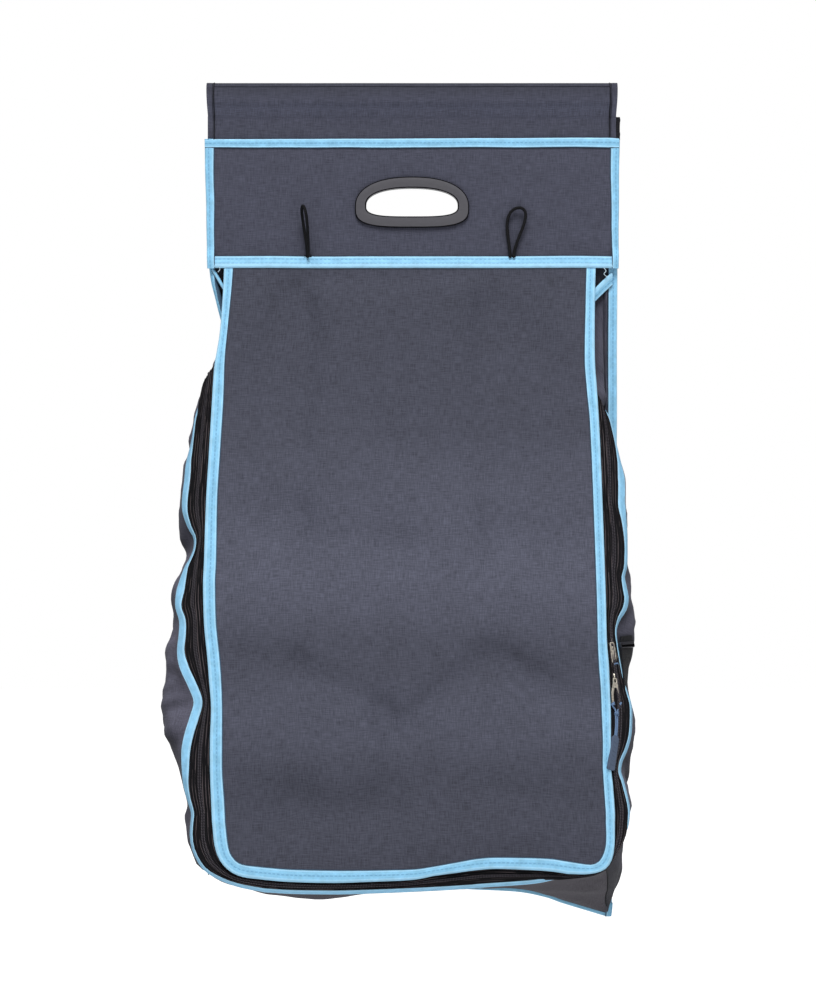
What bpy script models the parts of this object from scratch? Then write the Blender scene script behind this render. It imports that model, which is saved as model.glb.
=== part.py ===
"""Hanging tent organizer: a sleeve over a tent pole, a stiff header with a carry handle,
and a zipped front flap on a gusset that is deeper towards the bottom.

Metres, +Z up, +X to the viewer's right, +Y to the back. The origin is the middle of the pole
that the sleeve hangs on.
"""
import math

import bmesh
import bpy
from mathutils import Matrix, Vector

# Overall sizes
HEADER_WIDTH = 0.415          # header over its bound edges
HEADER_TOP = -0.0414          # top of the header's binding, under the pole
HEADER_HEIGHT = 0.1287
BACK_WIDTH = HEADER_WIDTH + 0.0002
BACK_BELOW_FLAP = 0.0332      # its lowest edge under the flap's
BACK_TOP_DROP = 0.0046        # back panel's top edge under the header's
BACK_CORNER_RADIUS = 0.0080   # of the gussets' seam on the back panel
FLAP_WIDTH = HEADER_WIDTH - 0.0248
FLAP_LENGTH = 0.6120          # from the hinge line to the bound bottom edge
FLAP_SIDE_SHIFT = -0.0060     # the loaded flap hangs a little to the left
DEPTH_AT_BOTTOM = 0.1356      # how far the flap's bottom stands in front of its top
FLAP_CORNER_RADIUS = 0.0340
FLAP_CORNER_STEPS = 6
FLAP_TAPE_FROM = 0.0034       # side tape starts this far under the hinge line

# Materials' thicknesses and fits
GAP = 0.0003                  # between sewn or touching pieces
CLOTH = 0.0012                # coated polyester with its seam turned in
BINDING = 0.0008              # one layer of binding tape
BINDING_WIDTH = 0.0100
BOARD = 0.0034                # stiffener board in the header
BOARD_MARGIN = 0.0035         # board inside the header's side tapes
BOARD_TOP_MARGIN = 0.0030
BOARD_BOTTOM_MARGIN = 0.0015
TAPE = 0.0006                 # zip tape
TOP_BINDING_SLACK = 0.0003    # the gussets' twisted top edges need a looser fold of tape

# Sleeve on the pole
POLE_RADIUS = 0.0125
SLEEVE_SLACK = 0.0006
SLEEVE_WIDTH = HEADER_WIDTH - 0.0060
SLEEVE_HEM = 0.0020           # cloth that goes on below its lowest seam
SLEEVE_ARC_STEPS = 14
HOOK_AND_LOOP_WIDTH = 0.0230
HOOK_AND_LOOP_THICKNESS = 0.0010
HOOK_AND_LOOP_TOP = -0.0195
HOOK_TAPE_OVERHANG = 0.0030   # the tape is this much longer than the sleeve at the right
HOOK_TAPE_INSET = 0.0040      # and this much shorter at the left

# Carry handle
HANDLE_HOLE_WIDTH = 0.0930
HANDLE_HOLE_HEIGHT = 0.0300
HANDLE_RIM = 0.0105           # flange round the hole
HANDLE_FLANGE = 0.0026
HANDLE_COLLAR = 0.0015        # wall that goes through the header
HANDLE_CENTRE_Z = -0.1052
HANDLE_ROUND = 0.0008         # rounding of its outer edges
HANDLE_RISE = 0.60            # share of the hole's height that the arch takes
HANDLE_ARCH_POWER = 2.3       # 2 is an ellipse, more is squarer
HANDLE_FOOT_POWER = 3.4
HANDLE_STEPS = 44

# Elastic loops
LOOP_CORD = 0.0030
LOOP_HEIGHT = 0.0485
LOOP_WIDTH = 0.0190           # between the cord's middle lines
LOOP_TAPER = 1.6              # how soon the two strands part
LOOP_FULLNESS = 2.1
LOOP_STEPS = 30
LOOP_OFF_HEADER = 0.0001
LOOP_LEFT_X = -0.25 * HEADER_WIDTH
LOOP_RIGHT_X = 0.24 * HEADER_WIDTH
LOOP_LEFT_TURN = math.radians(75)
LOOP_RIGHT_TURN = math.radians(8)
LOOP_LEFT_LEAN = -0.0045      # how far the loop's end leans to one side
LOOP_RIGHT_LEAN = 0.0070

# Zip: where its parts lie beside the flap's edge, outward and behind the flap's middle
ZIP_FROM = 0.105              # how far down the flap the zip starts
ZIP_SPREAD = 0.170            # and where it has spread to its full width
GUSSET_FROM = 0.022           # top edge of the gussets, down the flap
BINDING_FROM = 0.034          # top end of the blue tape beside the zip
COIL = 0.0018                 # one half of the coil, square in section
COIL_SPLIT = 0.0014           # between the two halves
COIL_CLEARANCE = 0.0003       # slider round the coil
LAP = 0.0105                  # gusset edge laid over the zip tape
TAPE_SHORT = 0.0020           # the zip tape ends this much before the lap does
TAPE_SEWN = 0.0080            # the flap's zip tape under the flap's edge
ZIP_STOP_LENGTH = 0.0040
ZIP_STOP_WIDTH = 0.0030

# Gussets: how far their widest part stands from the middle
BELLY_LEFT = HEADER_WIDTH / 2 + 0.0330
BELLY_RIGHT = HEADER_WIDTH / 2 + 0.0100
BELLY_FROM = 0.050            # down the flap
BELLY_FULL = 0.41 * FLAP_LENGTH
BELLY_FALL = 0.82 * FLAP_LENGTH       # from here on down it gets less wide
BELLY_KEPT = 0.25             # share of the width kept at the corner
BELLY_FRONT = 0.018           # from the zip back to the widest part
BELLY_FRONT_LIMIT = 0.30      # and at most this share of the way to the back
BELLY_REAR = 0.75             # share of the way where the cloth turns to the back
CORNER_BELLY = 0.0060
CORNER_SEAM = 0.0010          # between a side gusset and the bottom one
BOTTOM_SAG = 0.0040
SEAM_TOP_RISE = 0.0100        # the seam on the back starts higher than the zip's side

# Zip sliders and their pulls
SLIDER_WIDTH = 0.0080
SLIDER_LENGTH = 0.0110
SLIDER_PLATE = 0.0010
SLIDER_UPPER_AT = 0.615 * FLAP_LENGTH
SLIDER_LOWER_AT = SLIDER_UPPER_AT + 0.0370
BAIL_HEIGHT = 0.0022          # clear height under the bail
BAIL_WIRE = 0.0010
BAIL_LENGTH = 0.0060
SLIDER_TAPER = 0.75           # its lower end is this much narrower
PULLER_PIN = 0.0012
PULLER_PIN_PLAY = 0.0002
PULLER_THICKNESS = 0.0012
PULLER_UPPER_LENGTH = 0.0200
PULLER_LOWER_LENGTH = 0.0230
PULLER_NECK_WIDTH = 0.0050
PULLER_NECK_LENGTH = 0.0045
PULLER_SHOULDER = 0.0105      # down from the pin to the full width
PULLER_END_WIDTH = 0.0078
PULLER_CHAMFER = 0.0012
PULLER_WINDOW_WIDTH = 0.0022
PULLER_WINDOW_PLAY = 0.0010
PULLER_BAR = 0.0016           # lowest bar, which the cord goes over
PULLER_EYE_WIDTH = 0.0044     # round eye of the upper puller
PULLER_EYE_HEIGHT = 0.0036
PULL_CORD = 0.0018
PULL_CORD_LENGTH = 0.0330
UPPER_CORD_LENGTH = 0.0060
PULL_TAB_LENGTH = 0.0350
PULL_TAB_WIDTH = 0.0085
PULL_TAB_THICKNESS = 0.0034
PULL_TAB_CHAMFER = 0.0012

# Strap on the right gusset
STRAP_WIDTH = 0.0200
STRAP_THICKNESS = 0.0014
STRAP_FROM = 0.595 * FLAP_LENGTH
STRAP_LENGTH = 0.0860
STRAP_RAISED = 0.0028         # middle of the strap off the gusset
STRAP_RAMP = 0.0080
STRAP_END = 0.0060            # sewn flat at both ends
BUCKLE_AT = STRAP_FROM + 0.0210
BUCKLE_LENGTH = 0.0160
BUCKLE_BAR = 0.0030
BUCKLE_RAIL = 0.0028
BUCKLE_PLATE = 0.0016
BUCKLE_CLEARANCE = 0.0004

CUTTER_REACH = 0.0200         # cutters go this far past what they cut
WINDOW_REACH = 0.0040         # the small ones of the pullers
SMOOTH_BELOW = math.radians(40)

# Compartments on the back panel: top and height as shares of the flap's length, depth as a
# share of the depth at the bottom, and how many side by side
POCKET_WIDTH = HEADER_WIDTH - 0.0510
POCKETS = (
    ("top", 0.121, 0.155, 0.133, 3),
    ("middle", 0.358, 0.229, 0.280, 2),
    ("bottom", 0.676, 0.310, 0.500, 2),
)

GREY_CLOTH = (0.078, 0.084, 0.110)
DARK_CLOTH = (0.036, 0.045, 0.061)
BLUE = (0.333, 0.651, 0.905)
BLACK = (0.012, 0.012, 0.014)
PLASTIC = (0.100, 0.095, 0.105)
NICKEL = (0.720, 0.640, 0.560)
PULL_BLUE = (0.250, 0.330, 0.480)
BOARD_GREY = (0.350, 0.350, 0.350)

# Places worked out from the sizes above
LEAN = math.asin(DEPTH_AT_BOTTOM / FLAP_LENGTH)
SLEEVE_RADIUS = POLE_RADIUS + SLEEVE_SLACK + CLOTH / 2
HEADER_BOTTOM = HEADER_TOP - HEADER_HEIGHT
BACK_FLANGE_Y = 0.0004                                 # gusset's edge on the back panel
BACK_PANEL_Y = BACK_FLANGE_Y + CLOTH + GAP
BOARD_BACK = BACK_PANEL_Y - CLOTH / 2 - GAP
BOARD_FRONT = BOARD_BACK - BOARD
HEADER_PANEL_Y = BOARD_FRONT - GAP - CLOTH / 2
BINDING_EDGE = GAP + BINDING                           # tape beyond the edge that it wraps
HEADER_FRONT = HEADER_PANEL_Y - CLOTH / 2 - BINDING_EDGE
SLEEVE_FOOT_Y = -0.0007
HINGE_Y = HEADER_FRONT - CLOTH / 2
HINGE_Z = HEADER_BOTTOM - GAP - CLOTH / 2
STRAIGHT_END = FLAP_LENGTH - FLAP_CORNER_RADIUS        # end of the flap's straight side
FLAP_MARKS = ((BINDING_FROM, ZIP_FROM, 6), (ZIP_FROM, ZIP_SPREAD, 6), (ZIP_SPREAD, STRAIGHT_END, 4))
BACK_HALF = BACK_WIDTH / 2 - BINDING_EDGE
BACK_BOTTOM = HINGE_Z - FLAP_LENGTH * math.cos(LEAN) - BACK_BELOW_FLAP
BACK_EDGE_BOTTOM = BACK_BOTTOM + BINDING_EDGE
SEAM_HALF = BACK_WIDTH / 2 - BINDING_WIDTH - 0.0010    # where a gusset meets the back
SEAM_BOTTOM = BACK_BOTTOM + BINDING_WIDTH + 0.0010
SEAM_DEPTH = 0.0040                                    # gusset's last stretch, square to the back
SEAM_DEPTH_LIMIT = 0.35                                # and at most this share of the gusset
LAP_DROP = CLOTH / 2 + BINDING_EDGE + GAP + TAPE / 2   # zip tape behind the gusset's edge


def clear_scene():
    for old in list(bpy.data.objects):
        bpy.data.objects.remove(old, do_unlink=True)


def material(name, colour, roughness=0.8, metallic=0.0):
    made = bpy.data.materials.new(name)
    made.use_nodes = True
    shader = made.node_tree.nodes["Principled BSDF"]
    shader.inputs["Base Color"].default_value = (*colour, 1.0)
    shader.inputs["Roughness"].default_value = roughness
    shader.inputs["Metallic"].default_value = metallic
    return made


def add_object(name, bm, finish, origin=(0.0, 0.0, 0.0), smooth=False):
    """Link the mesh as one object whose origin is at the given point."""
    bmesh.ops.recalc_face_normals(bm, faces=bm.faces)
    bmesh.ops.translate(bm, verts=bm.verts, vec=-Vector(origin))
    mesh = bpy.data.meshes.new(name)
    bm.to_mesh(mesh)
    bm.free()
    if smooth:
        mesh.shade_smooth()
        mesh.set_sharp_from_angle(angle=SMOOTH_BELOW)
    made = bpy.data.objects.new(name, mesh)
    made.location = origin
    bpy.context.collection.objects.link(made)
    made.data.materials.append(material(name, *finish))
    return made


def cap_strip(bm, row):
    """Close a strip's end with one face for each of its stretches."""
    for i in range(len(row) // 2 - 1):
        bm.faces.new((row[i], row[i + 1], row[-2 - i], row[-1 - i]))


def strip_faces(bm, row, following):
    """Faces between two sections of a strip: both its sides are split along the same lines."""
    last = len(row) - 1
    turn = len(row) // 2 - 1
    for i in range(len(row)):
        j = (i + 1) % len(row)
        if i in (turn, last):
            bm.faces.new((row[i], row[j], following[j], following[i]))
        elif i < turn:
            bm.faces.new((row[i], row[j], following[j]))
            bm.faces.new((row[i], following[j], following[i]))
        else:
            bm.faces.new((row[i], row[j], following[i]))
            bm.faces.new((row[j], following[j], following[i]))


def sweep(name, rings, finish, origin=(0.0, 0.0, 0.0), strip=False, smooth=False):
    """A closed solid through rings of as many points each; a strip's ends follow its bends."""
    bm = bmesh.new()
    rows = [[bm.verts.new(point) for point in ring] for ring in rings]
    for row, following in zip(rows, rows[1:]):
        if strip:
            strip_faces(bm, row, following)
            continue
        for i in range(len(row)):
            j = (i + 1) % len(row)
            bm.faces.new((row[i], row[j], following[j], following[i]))
    for end in (rows[0], rows[-1]):
        if strip:
            cap_strip(bm, end)
        else:
            bm.faces.new(end)
    return add_object(name, bm, finish, origin, smooth)


def box_mesh(low, high):
    bm = bmesh.new()
    bmesh.ops.create_cube(bm, size=1.0)
    size = Vector(high) - Vector(low)
    middle = (Vector(high) + Vector(low)) / 2
    bmesh.ops.transform(bm, matrix=Matrix.Translation(middle) @ Matrix.Diagonal((*size, 1)), verts=bm.verts)
    return bm


def box(name, low, high, finish):
    return add_object(name, box_mesh(low, high), finish)


def cutter(name, bm):
    made = add_object(name, bm, (BLACK,))
    made.hide_render = True
    made.display_type = "WIRE"
    return made


def cut(target, tool):
    cut_away = target.modifiers.new("cut_" + tool.name, "BOOLEAN")
    cut_away.operation = "DIFFERENCE"
    cut_away.solver = "EXACT"
    cut_away.object = tool


def smooth_step(value):
    value = min(1.0, max(0.0, value))
    return value * value * (3 - 2 * value)


def mix(a, b, share):
    return a + (b - a) * share


def side_offsets(points, half):
    """How far one side of a strip lies from each of the 2D points along its middle."""
    directions = [(b - a).normalized() for a, b in zip(points, points[1:])]
    sides = []
    for i in range(len(points)):
        before = directions[max(i - 1, 0)]
        after = directions[min(i, len(directions) - 1)]
        across = Vector((-before.y - after.y, before.x + after.x)).normalized()
        stretch = across.dot(Vector((-after.y, after.x)))
        sides.append(across * (half / stretch))
    return sides


def offset_loop(points, half):
    """The closed outline of a strip of the given half thickness along 2D points."""
    sides = side_offsets(points, half)
    there = [p + s for p, s in zip(points, sides)]
    back = [p - s for p, s in zip(points, sides)]
    return there + back[::-1]


def wrap_loop(edge, inward, front, rear, width):
    """Tape folded round a cloth's edge: 2D outline, with its slot from front to rear."""
    across = Vector((-inward.y, inward.x))
    outer = edge - inward * BINDING_EDGE
    inner = edge - inward * GAP
    tip = outer + inward * width
    front_out = across * (front + BINDING)
    rear_out = across * (rear + BINDING)
    return [
        outer + front_out, tip + front_out, tip + across * front, inner + across * front,
        inner - across * rear, tip - across * rear, tip - rear_out, outer - rear_out,
    ]


# Header and sleeve

def side_view(x, points):
    """Points of the side view (y, z) at one x."""
    return [Vector((x, p.x, p.y)) for p in points]


def sleeve_leg(foot, top_angle, side):
    """Middle line of one leg of the sleeve, from its foot to the top of the pole."""
    straight_top = Vector((foot.x, HOOK_AND_LOOP_TOP))
    turn = math.acos(SLEEVE_RADIUS / straight_top.length)
    start = math.atan2(straight_top.y, straight_top.x) + side * turn
    if side < 0:
        start += 2 * math.pi
    arc = [mix(start, top_angle, i / SLEEVE_ARC_STEPS) for i in range(SLEEVE_ARC_STEPS + 1)]
    round_part = [Vector((math.cos(a), math.sin(a))) * SLEEVE_RADIUS for a in arc]
    return [foot, straight_top] + round_part


def make_sleeve():
    cloth = (GREY_CLOTH,)
    black = (BLACK, 0.9)
    half = SLEEVE_WIDTH / 2
    split = GAP / 2 / SLEEVE_RADIUS
    loop_y = SLEEVE_FOOT_Y + CLOTH / 2 + GAP
    hook_y = loop_y + HOOK_AND_LOOP_THICKNESS + GAP
    back_y = hook_y + HOOK_AND_LOOP_THICKNESS + GAP + CLOTH / 2
    tape_bottom = HOOK_AND_LOOP_TOP - HOOK_AND_LOOP_WIDTH
    front_foot = Vector((SLEEVE_FOOT_Y, HEADER_TOP - BINDING_WIDTH - SLEEVE_HEM))
    front = sleeve_leg(front_foot, math.pi / 2 + split, -1)
    front_rings = [side_view(x, offset_loop(front, CLOTH / 2)) for x in (-half, half)]
    sweep("sleeve_front", front_rings, cloth, smooth=True)
    back_foot = Vector((back_y, tape_bottom - SLEEVE_HEM))
    back = sleeve_leg(back_foot, math.pi / 2 - split, 1)
    pivot = (0.0, 0.0, SLEEVE_RADIUS + CLOTH / 2)
    back_rings = [side_view(x, offset_loop(back, CLOTH / 2)) for x in (-half, half)]
    sweep("sleeve_back", back_rings, cloth, pivot, smooth=True)
    tape_left = -half + HOOK_TAPE_INSET
    tape_right = half + HOOK_TAPE_OVERHANG
    box("loop_tape", (tape_left, loop_y, tape_bottom),
        (tape_right, loop_y + HOOK_AND_LOOP_THICKNESS, HOOK_AND_LOOP_TOP), black)
    hook = box_mesh((tape_left, hook_y, tape_bottom),
                    (tape_right, hook_y + HOOK_AND_LOOP_THICKNESS, HOOK_AND_LOOP_TOP))
    add_object("hook_tape", hook, black, pivot)


def d_outline(width, height):
    """The handle's outline: an arched top over a flatter bottom with round corners."""
    rise = HANDLE_RISE * height
    drop = height - rise
    middle = height / 2 - rise
    points = []
    for i in range(HANDLE_STEPS):
        angle = 2 * math.pi * i / HANDLE_STEPS
        x, z = math.cos(angle), math.sin(angle)
        power = HANDLE_ARCH_POWER if z > 0 else HANDLE_FOOT_POWER
        size = (abs(x) ** power + abs(z) ** power) ** (-1 / power)
        points.append(Vector((x * size * width / 2, middle + z * size * (rise if z > 0 else drop))))
    return points


def handle_ring(grow, y):
    outline = d_outline(HANDLE_HOLE_WIDTH + 2 * grow, HANDLE_HOLE_HEIGHT + 2 * grow)
    return [Vector((p.x, y, HANDLE_CENTRE_Z + p.y)) for p in outline]


def ring_solid(name, rings, finish):
    """A solid whose rings go round the handle's hole, the last joined to the first."""
    bm = bmesh.new()
    rows = [[bm.verts.new(point) for point in ring] for ring in rings]
    for row, following in zip(rows, rows[1:] + rows[:1]):
        for i in range(len(row)):
            j = (i + 1) % len(row)
            bm.faces.new((row[i], row[j], following[j], following[i]))
    return add_object(name, bm, finish, smooth=True)


def make_handle():
    plastic = (PLASTIC, 0.45)
    front_in = HEADER_PANEL_Y - CLOTH / 2 - GAP
    front_out = front_in - HANDLE_FLANGE
    back_in = BACK_PANEL_Y + CLOTH / 2 + GAP
    back_out = back_in + HANDLE_FLANGE
    ring_solid("handle_front", [
        handle_ring(0.0, front_out + HANDLE_ROUND), handle_ring(HANDLE_ROUND, front_out),
        handle_ring(HANDLE_RIM - HANDLE_ROUND, front_out), handle_ring(HANDLE_RIM, front_out + HANDLE_ROUND),
        handle_ring(HANDLE_RIM, front_in), handle_ring(HANDLE_COLLAR, front_in),
        handle_ring(HANDLE_COLLAR, back_out - HANDLE_ROUND), handle_ring(0.0, back_out - HANDLE_ROUND),
    ], plastic)
    seat = HANDLE_COLLAR + GAP
    ring_solid("handle_back", [
        handle_ring(seat, back_in), handle_ring(HANDLE_RIM, back_in),
        handle_ring(HANDLE_RIM, back_out - HANDLE_ROUND), handle_ring(HANDLE_RIM - HANDLE_ROUND, back_out),
        handle_ring(seat, back_out),
    ], plastic)
    bm = bmesh.new()
    rows = [[bm.verts.new(p) for p in handle_ring(seat, y)] for y in (-CUTTER_REACH, CUTTER_REACH)]
    count = len(rows[0])
    for i in range(count):
        j = (i + 1) % count
        bm.faces.new((rows[0][i], rows[0][j], rows[1][j], rows[1][i]))
    bm.faces.new(rows[0])
    bm.faces.new(list(reversed(rows[1])))
    return cutter("handle_cutter", bm)


def header_edge():
    """The header panel's raw edge: up the left, across the top, down the right."""
    half = HEADER_WIDTH / 2 - BINDING_EDGE
    top = HEADER_TOP - BINDING_EDGE
    bottom = HEADER_BOTTOM + BINDING_EDGE
    return half, top, bottom


def mitred_wrap(name, corners, front, rear, y, finish):
    """Binding tape round a path of corners in the XZ plane, mitred at each corner."""
    rings = []
    for i, corner in enumerate(corners):
        before = (corner - corners[i - 1]).normalized() if i else None
        after = (corners[i + 1] - corner).normalized() if i + 1 < len(corners) else None
        before = before or after
        after = after or before
        inward = Vector((before.y + after.y, -before.x - after.x)).normalized()
        stretch = 1 / inward.dot(Vector((after.y, -after.x)))
        profile = wrap_loop(Vector((0.0, 0.0)), Vector((1.0, 0.0)), front, rear, BINDING_WIDTH)
        rings.append([Vector((corner.x + inward.x * stretch * p.x, y - p.y,
                              corner.y + inward.y * stretch * p.x)) for p in profile])
    return sweep(name, rings, finish)


def make_header(handle_cutter):
    half, top, bottom = header_edge()
    blue = (BLUE, 0.85)
    panel = box("header_panel", (-half, HEADER_PANEL_Y - CLOTH / 2, bottom),
                (half, HEADER_PANEL_Y + CLOTH / 2, top), (GREY_CLOTH,))
    board_half = HEADER_WIDTH / 2 - BINDING_WIDTH - BOARD_MARGIN
    board_top = HEADER_TOP - BINDING_WIDTH - BOARD_TOP_MARGIN
    board_bottom = HEADER_BOTTOM + BINDING_WIDTH + BOARD_BOTTOM_MARGIN
    board = box("header_board", (-board_half, BOARD_FRONT, board_bottom),
                (board_half, BOARD_BACK, board_top), (BOARD_GREY, 0.5))
    for piece in (panel, board):
        cut(piece, handle_cutter)
    slot = CLOTH / 2 + GAP
    side_bottom = HEADER_BOTTOM + BINDING_WIDTH + GAP
    corners = [Vector((-half, side_bottom)), Vector((-half, top)),
               Vector((half, top)), Vector((half, side_bottom))]
    mitred_wrap("header_binding", corners, slot, slot, HEADER_PANEL_Y, blue)
    across = HEADER_WIDTH / 2
    seam = [Vector((across, bottom)), Vector((-across, bottom))]
    mitred_wrap("header_seam_binding", seam, slot, slot, HEADER_PANEL_Y, blue)


def make_back(handle_cutter):
    top = HEADER_TOP - BACK_TOP_DROP
    panel = box("back_panel", (-BACK_HALF, BACK_PANEL_Y - CLOTH / 2, BACK_EDGE_BOTTOM),
                (BACK_HALF, BACK_PANEL_Y + CLOTH / 2, top), (GREY_CLOTH,))
    cut(panel, handle_cutter)
    binding_top = top - BINDING_WIDTH
    corners = [Vector((BACK_HALF, binding_top)), Vector((BACK_HALF, BACK_EDGE_BOTTOM)),
               Vector((-BACK_HALF, BACK_EDGE_BOTTOM)), Vector((-BACK_HALF, binding_top))]
    rear = CLOTH / 2 + GAP
    front = BACK_PANEL_Y - BACK_FLANGE_Y + CLOTH / 2 + GAP
    mitred_wrap("back_binding", corners, front, rear, BACK_PANEL_Y, (BLUE, 0.85))


def tube(name, points, diameter, finish, origin):
    """A round cord along points, as a filled curve."""
    curve = bpy.data.curves.new(name, "CURVE")
    curve.dimensions = "3D"
    curve.bevel_depth = diameter / 2
    curve.bevel_resolution = 2
    curve.use_fill_caps = True
    spline = curve.splines.new("POLY")
    spline.points.add(len(points) - 1)
    for target, point in zip(spline.points, points):
        target.co = (*(point - Vector(origin)), 1.0)
    made = bpy.data.objects.new(name, curve)
    made.location = origin
    bpy.context.collection.objects.link(made)
    curve.materials.append(material(name, *finish))


def make_elastic_loop(name, x, turn, lean):
    """One cord bent into a teardrop that stands in front of the header and leans to a side."""
    base = Vector((x, HEADER_FRONT - LOOP_CORD / 2 - LOOP_OFF_HEADER, HEADER_BOTTOM + BINDING_WIDTH + GAP))
    points = []
    foot_gap = LOOP_CORD / 2 + GAP
    for i in range(LOOP_STEPS + 1):
        angle = math.pi * i / LOOP_STEPS
        spread = math.sin(angle) ** LOOP_TAPER
        half = foot_gap + (LOOP_FULLNESS * LOOP_WIDTH / 2 - foot_gap) * spread
        across = math.cos(angle) * half
        height = LOOP_HEIGHT * math.sin(angle)
        sideways = math.cos(turn) * across + lean * spread
        points.append(base + Vector((sideways, -math.sin(turn) * (across + half), height)))
    tube(name, points, LOOP_CORD, (BLACK, 0.8), base)


# Flap, zip and gussets

def flap_point(u, v, depth):
    """A point u across the flap, v down it from the hinge, at a depth behind its middle."""
    return Vector((
        FLAP_SIDE_SHIFT + u,
        HINGE_Y - v * math.sin(LEAN) + depth * math.cos(LEAN),
        HINGE_Z - v * math.cos(LEAN) - depth * math.sin(LEAN),
    ))


class Station:
    """One place on the flap's free edge, with the direction away from the flap."""

    def __init__(self, side, v, turned=0.0):
        self.side = side                 # -1 left, 1 right
        self.turned = turned             # 0 on the side, 1 along the bottom
        angle = turned * math.pi / 2
        self.out = Vector((side * math.cos(angle), math.sin(angle)))
        inner_u = FLAP_WIDTH / 2 - FLAP_CORNER_RADIUS
        if turned:
            self.edge = Vector((side * inner_u, STRAIGHT_END)) + self.out * FLAP_CORNER_RADIUS
        else:
            self.edge = Vector((side * FLAP_WIDTH / 2, v))

    def place(self, point):
        """World point of a 2D point: x outward from the flap's edge, y behind its middle."""
        spot = self.edge + self.out * point.x
        return flap_point(spot.x, spot.y, point.y)


def flap_stations(side, start):
    """Stations down one side of the flap and round its corner to the bottom."""
    marks = [GUSSET_FROM]
    for low, high, steps in FLAP_MARKS:
        marks += [mix(low, high, i / steps) for i in range(steps)]
    straight = [start] + [m for m in marks if m > start + GAP] + [STRAIGHT_END]
    turns = [i / FLAP_CORNER_STEPS for i in range(1, FLAP_CORNER_STEPS + 1)]
    return [Station(side, v) for v in straight] + [Station(side, STRAIGHT_END, t) for t in turns]


# Outward and depth of the gusset's edge, slope of its lap, and coil inward of the edge
TUCKED_LEFT = (-0.0180, 0.0046, math.radians(18), 0.0)
TUCKED_RIGHT = (-0.0100, 0.0046, math.radians(18), 0.0)
ZIP_START = (0.0030, 0.0052, math.radians(30), 0.0030)
ALONG_LEFT = (0.0155, 0.0100, math.radians(35.5), 0.0106)
ALONG_RIGHT = (0.0118, 0.0075, math.radians(35.5), 0.0060)
ALONG_BOTTOM = (0.0079, 0.0068, math.radians(43), 0.0032)
TAPE_TURN = Vector((0.0015, 0.0030))       # where the flap's tape leaves the flap


class Section:
    """The zip and the gusset's edge in one station's outward and depth plane."""

    def __init__(self, station):
        v = station.edge.y
        along = ALONG_LEFT if station.side < 0 else ALONG_RIGHT
        if station.turned:
            values = [mix(a, b, smooth_step(station.turned)) for a, b in zip(along, ALONG_BOTTOM)]
        elif v < ZIP_FROM:
            share = smooth_step((v - BINDING_FROM) / (ZIP_FROM - BINDING_FROM))
            tucked = TUCKED_LEFT if station.side < 0 else TUCKED_RIGHT
            values = [mix(a, b, share) for a, b in zip(tucked, ZIP_START)]
        else:
            share = smooth_step((v - ZIP_FROM) / (ZIP_SPREAD - ZIP_FROM))
            values = [mix(a, b, share) for a, b in zip(ZIP_START, along)]
        out, depth, slope, coil_back = values
        self.edge = Vector((out, depth))
        self.along = Vector((math.cos(slope), math.sin(slope)))
        self.front = Vector((math.sin(slope), -math.cos(slope)))
        self.tape_foot = self.edge - self.front * LAP_DROP
        self.coil = self.tape_foot - self.along * coil_back
        self.lap_end = self.edge + self.along * LAP


def make_flap():
    flap_out = []
    for side in (-1, 1):
        row = [Station(side, 0.0)] + flap_stations(side, FLAP_TAPE_FROM)[1:]
        spots = [s.edge - s.out * BINDING_EDGE for s in row]
        spots[0].y = 0.0
        flap_out.append(spots)
    left, right = flap_out
    outline = left + right[::-1]
    half = CLOTH / 2
    hinge = (0.0, HINGE_Y, HINGE_Z)
    bm = bmesh.new()
    front = [bm.verts.new(flap_point(p.x, p.y, -half)) for p in outline]
    back = [bm.verts.new(flap_point(p.x, p.y, half)) for p in outline]
    count = len(outline)
    for i in range(count - 1):
        bm.faces.new((front[i], front[i + 1], back[i + 1], back[i]))
    rim = []
    for end in (outline[0], outline[-1]):
        arc = []
        for step in range(1, 4):
            angle = math.pi * step / 4
            arc.append(bm.verts.new(flap_point(end.x, -half * math.sin(angle), -half * math.cos(angle))))
        rim.append(arc)
    left_rim = [front[0]] + rim[0] + [back[0]]
    right_rim = [front[-1]] + rim[1] + [back[-1]]
    for i in range(len(left_rim) - 1):
        bm.faces.new((left_rim[i], left_rim[i + 1], right_rim[i + 1], right_rim[i]))
    bm.faces.new(front)
    bm.faces.new(list(reversed(back)))
    bm.faces.new(left_rim)
    bm.faces.new(list(reversed(right_rim)))
    add_object("front_flap", bm, (GREY_CLOTH,), hinge)

    rings = []
    slot = half + GAP
    stations = flap_stations(-1, FLAP_TAPE_FROM) + flap_stations(1, FLAP_TAPE_FROM)[::-1]
    for station in stations:
        profile = wrap_loop(Vector((-BINDING_EDGE, 0.0)), Vector((-1.0, 0.0)), slot, slot, BINDING_WIDTH)
        rings.append([station.place(p) for p in profile])
    sweep("flap_binding", rings, (BLUE, 0.85), hinge)


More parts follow.
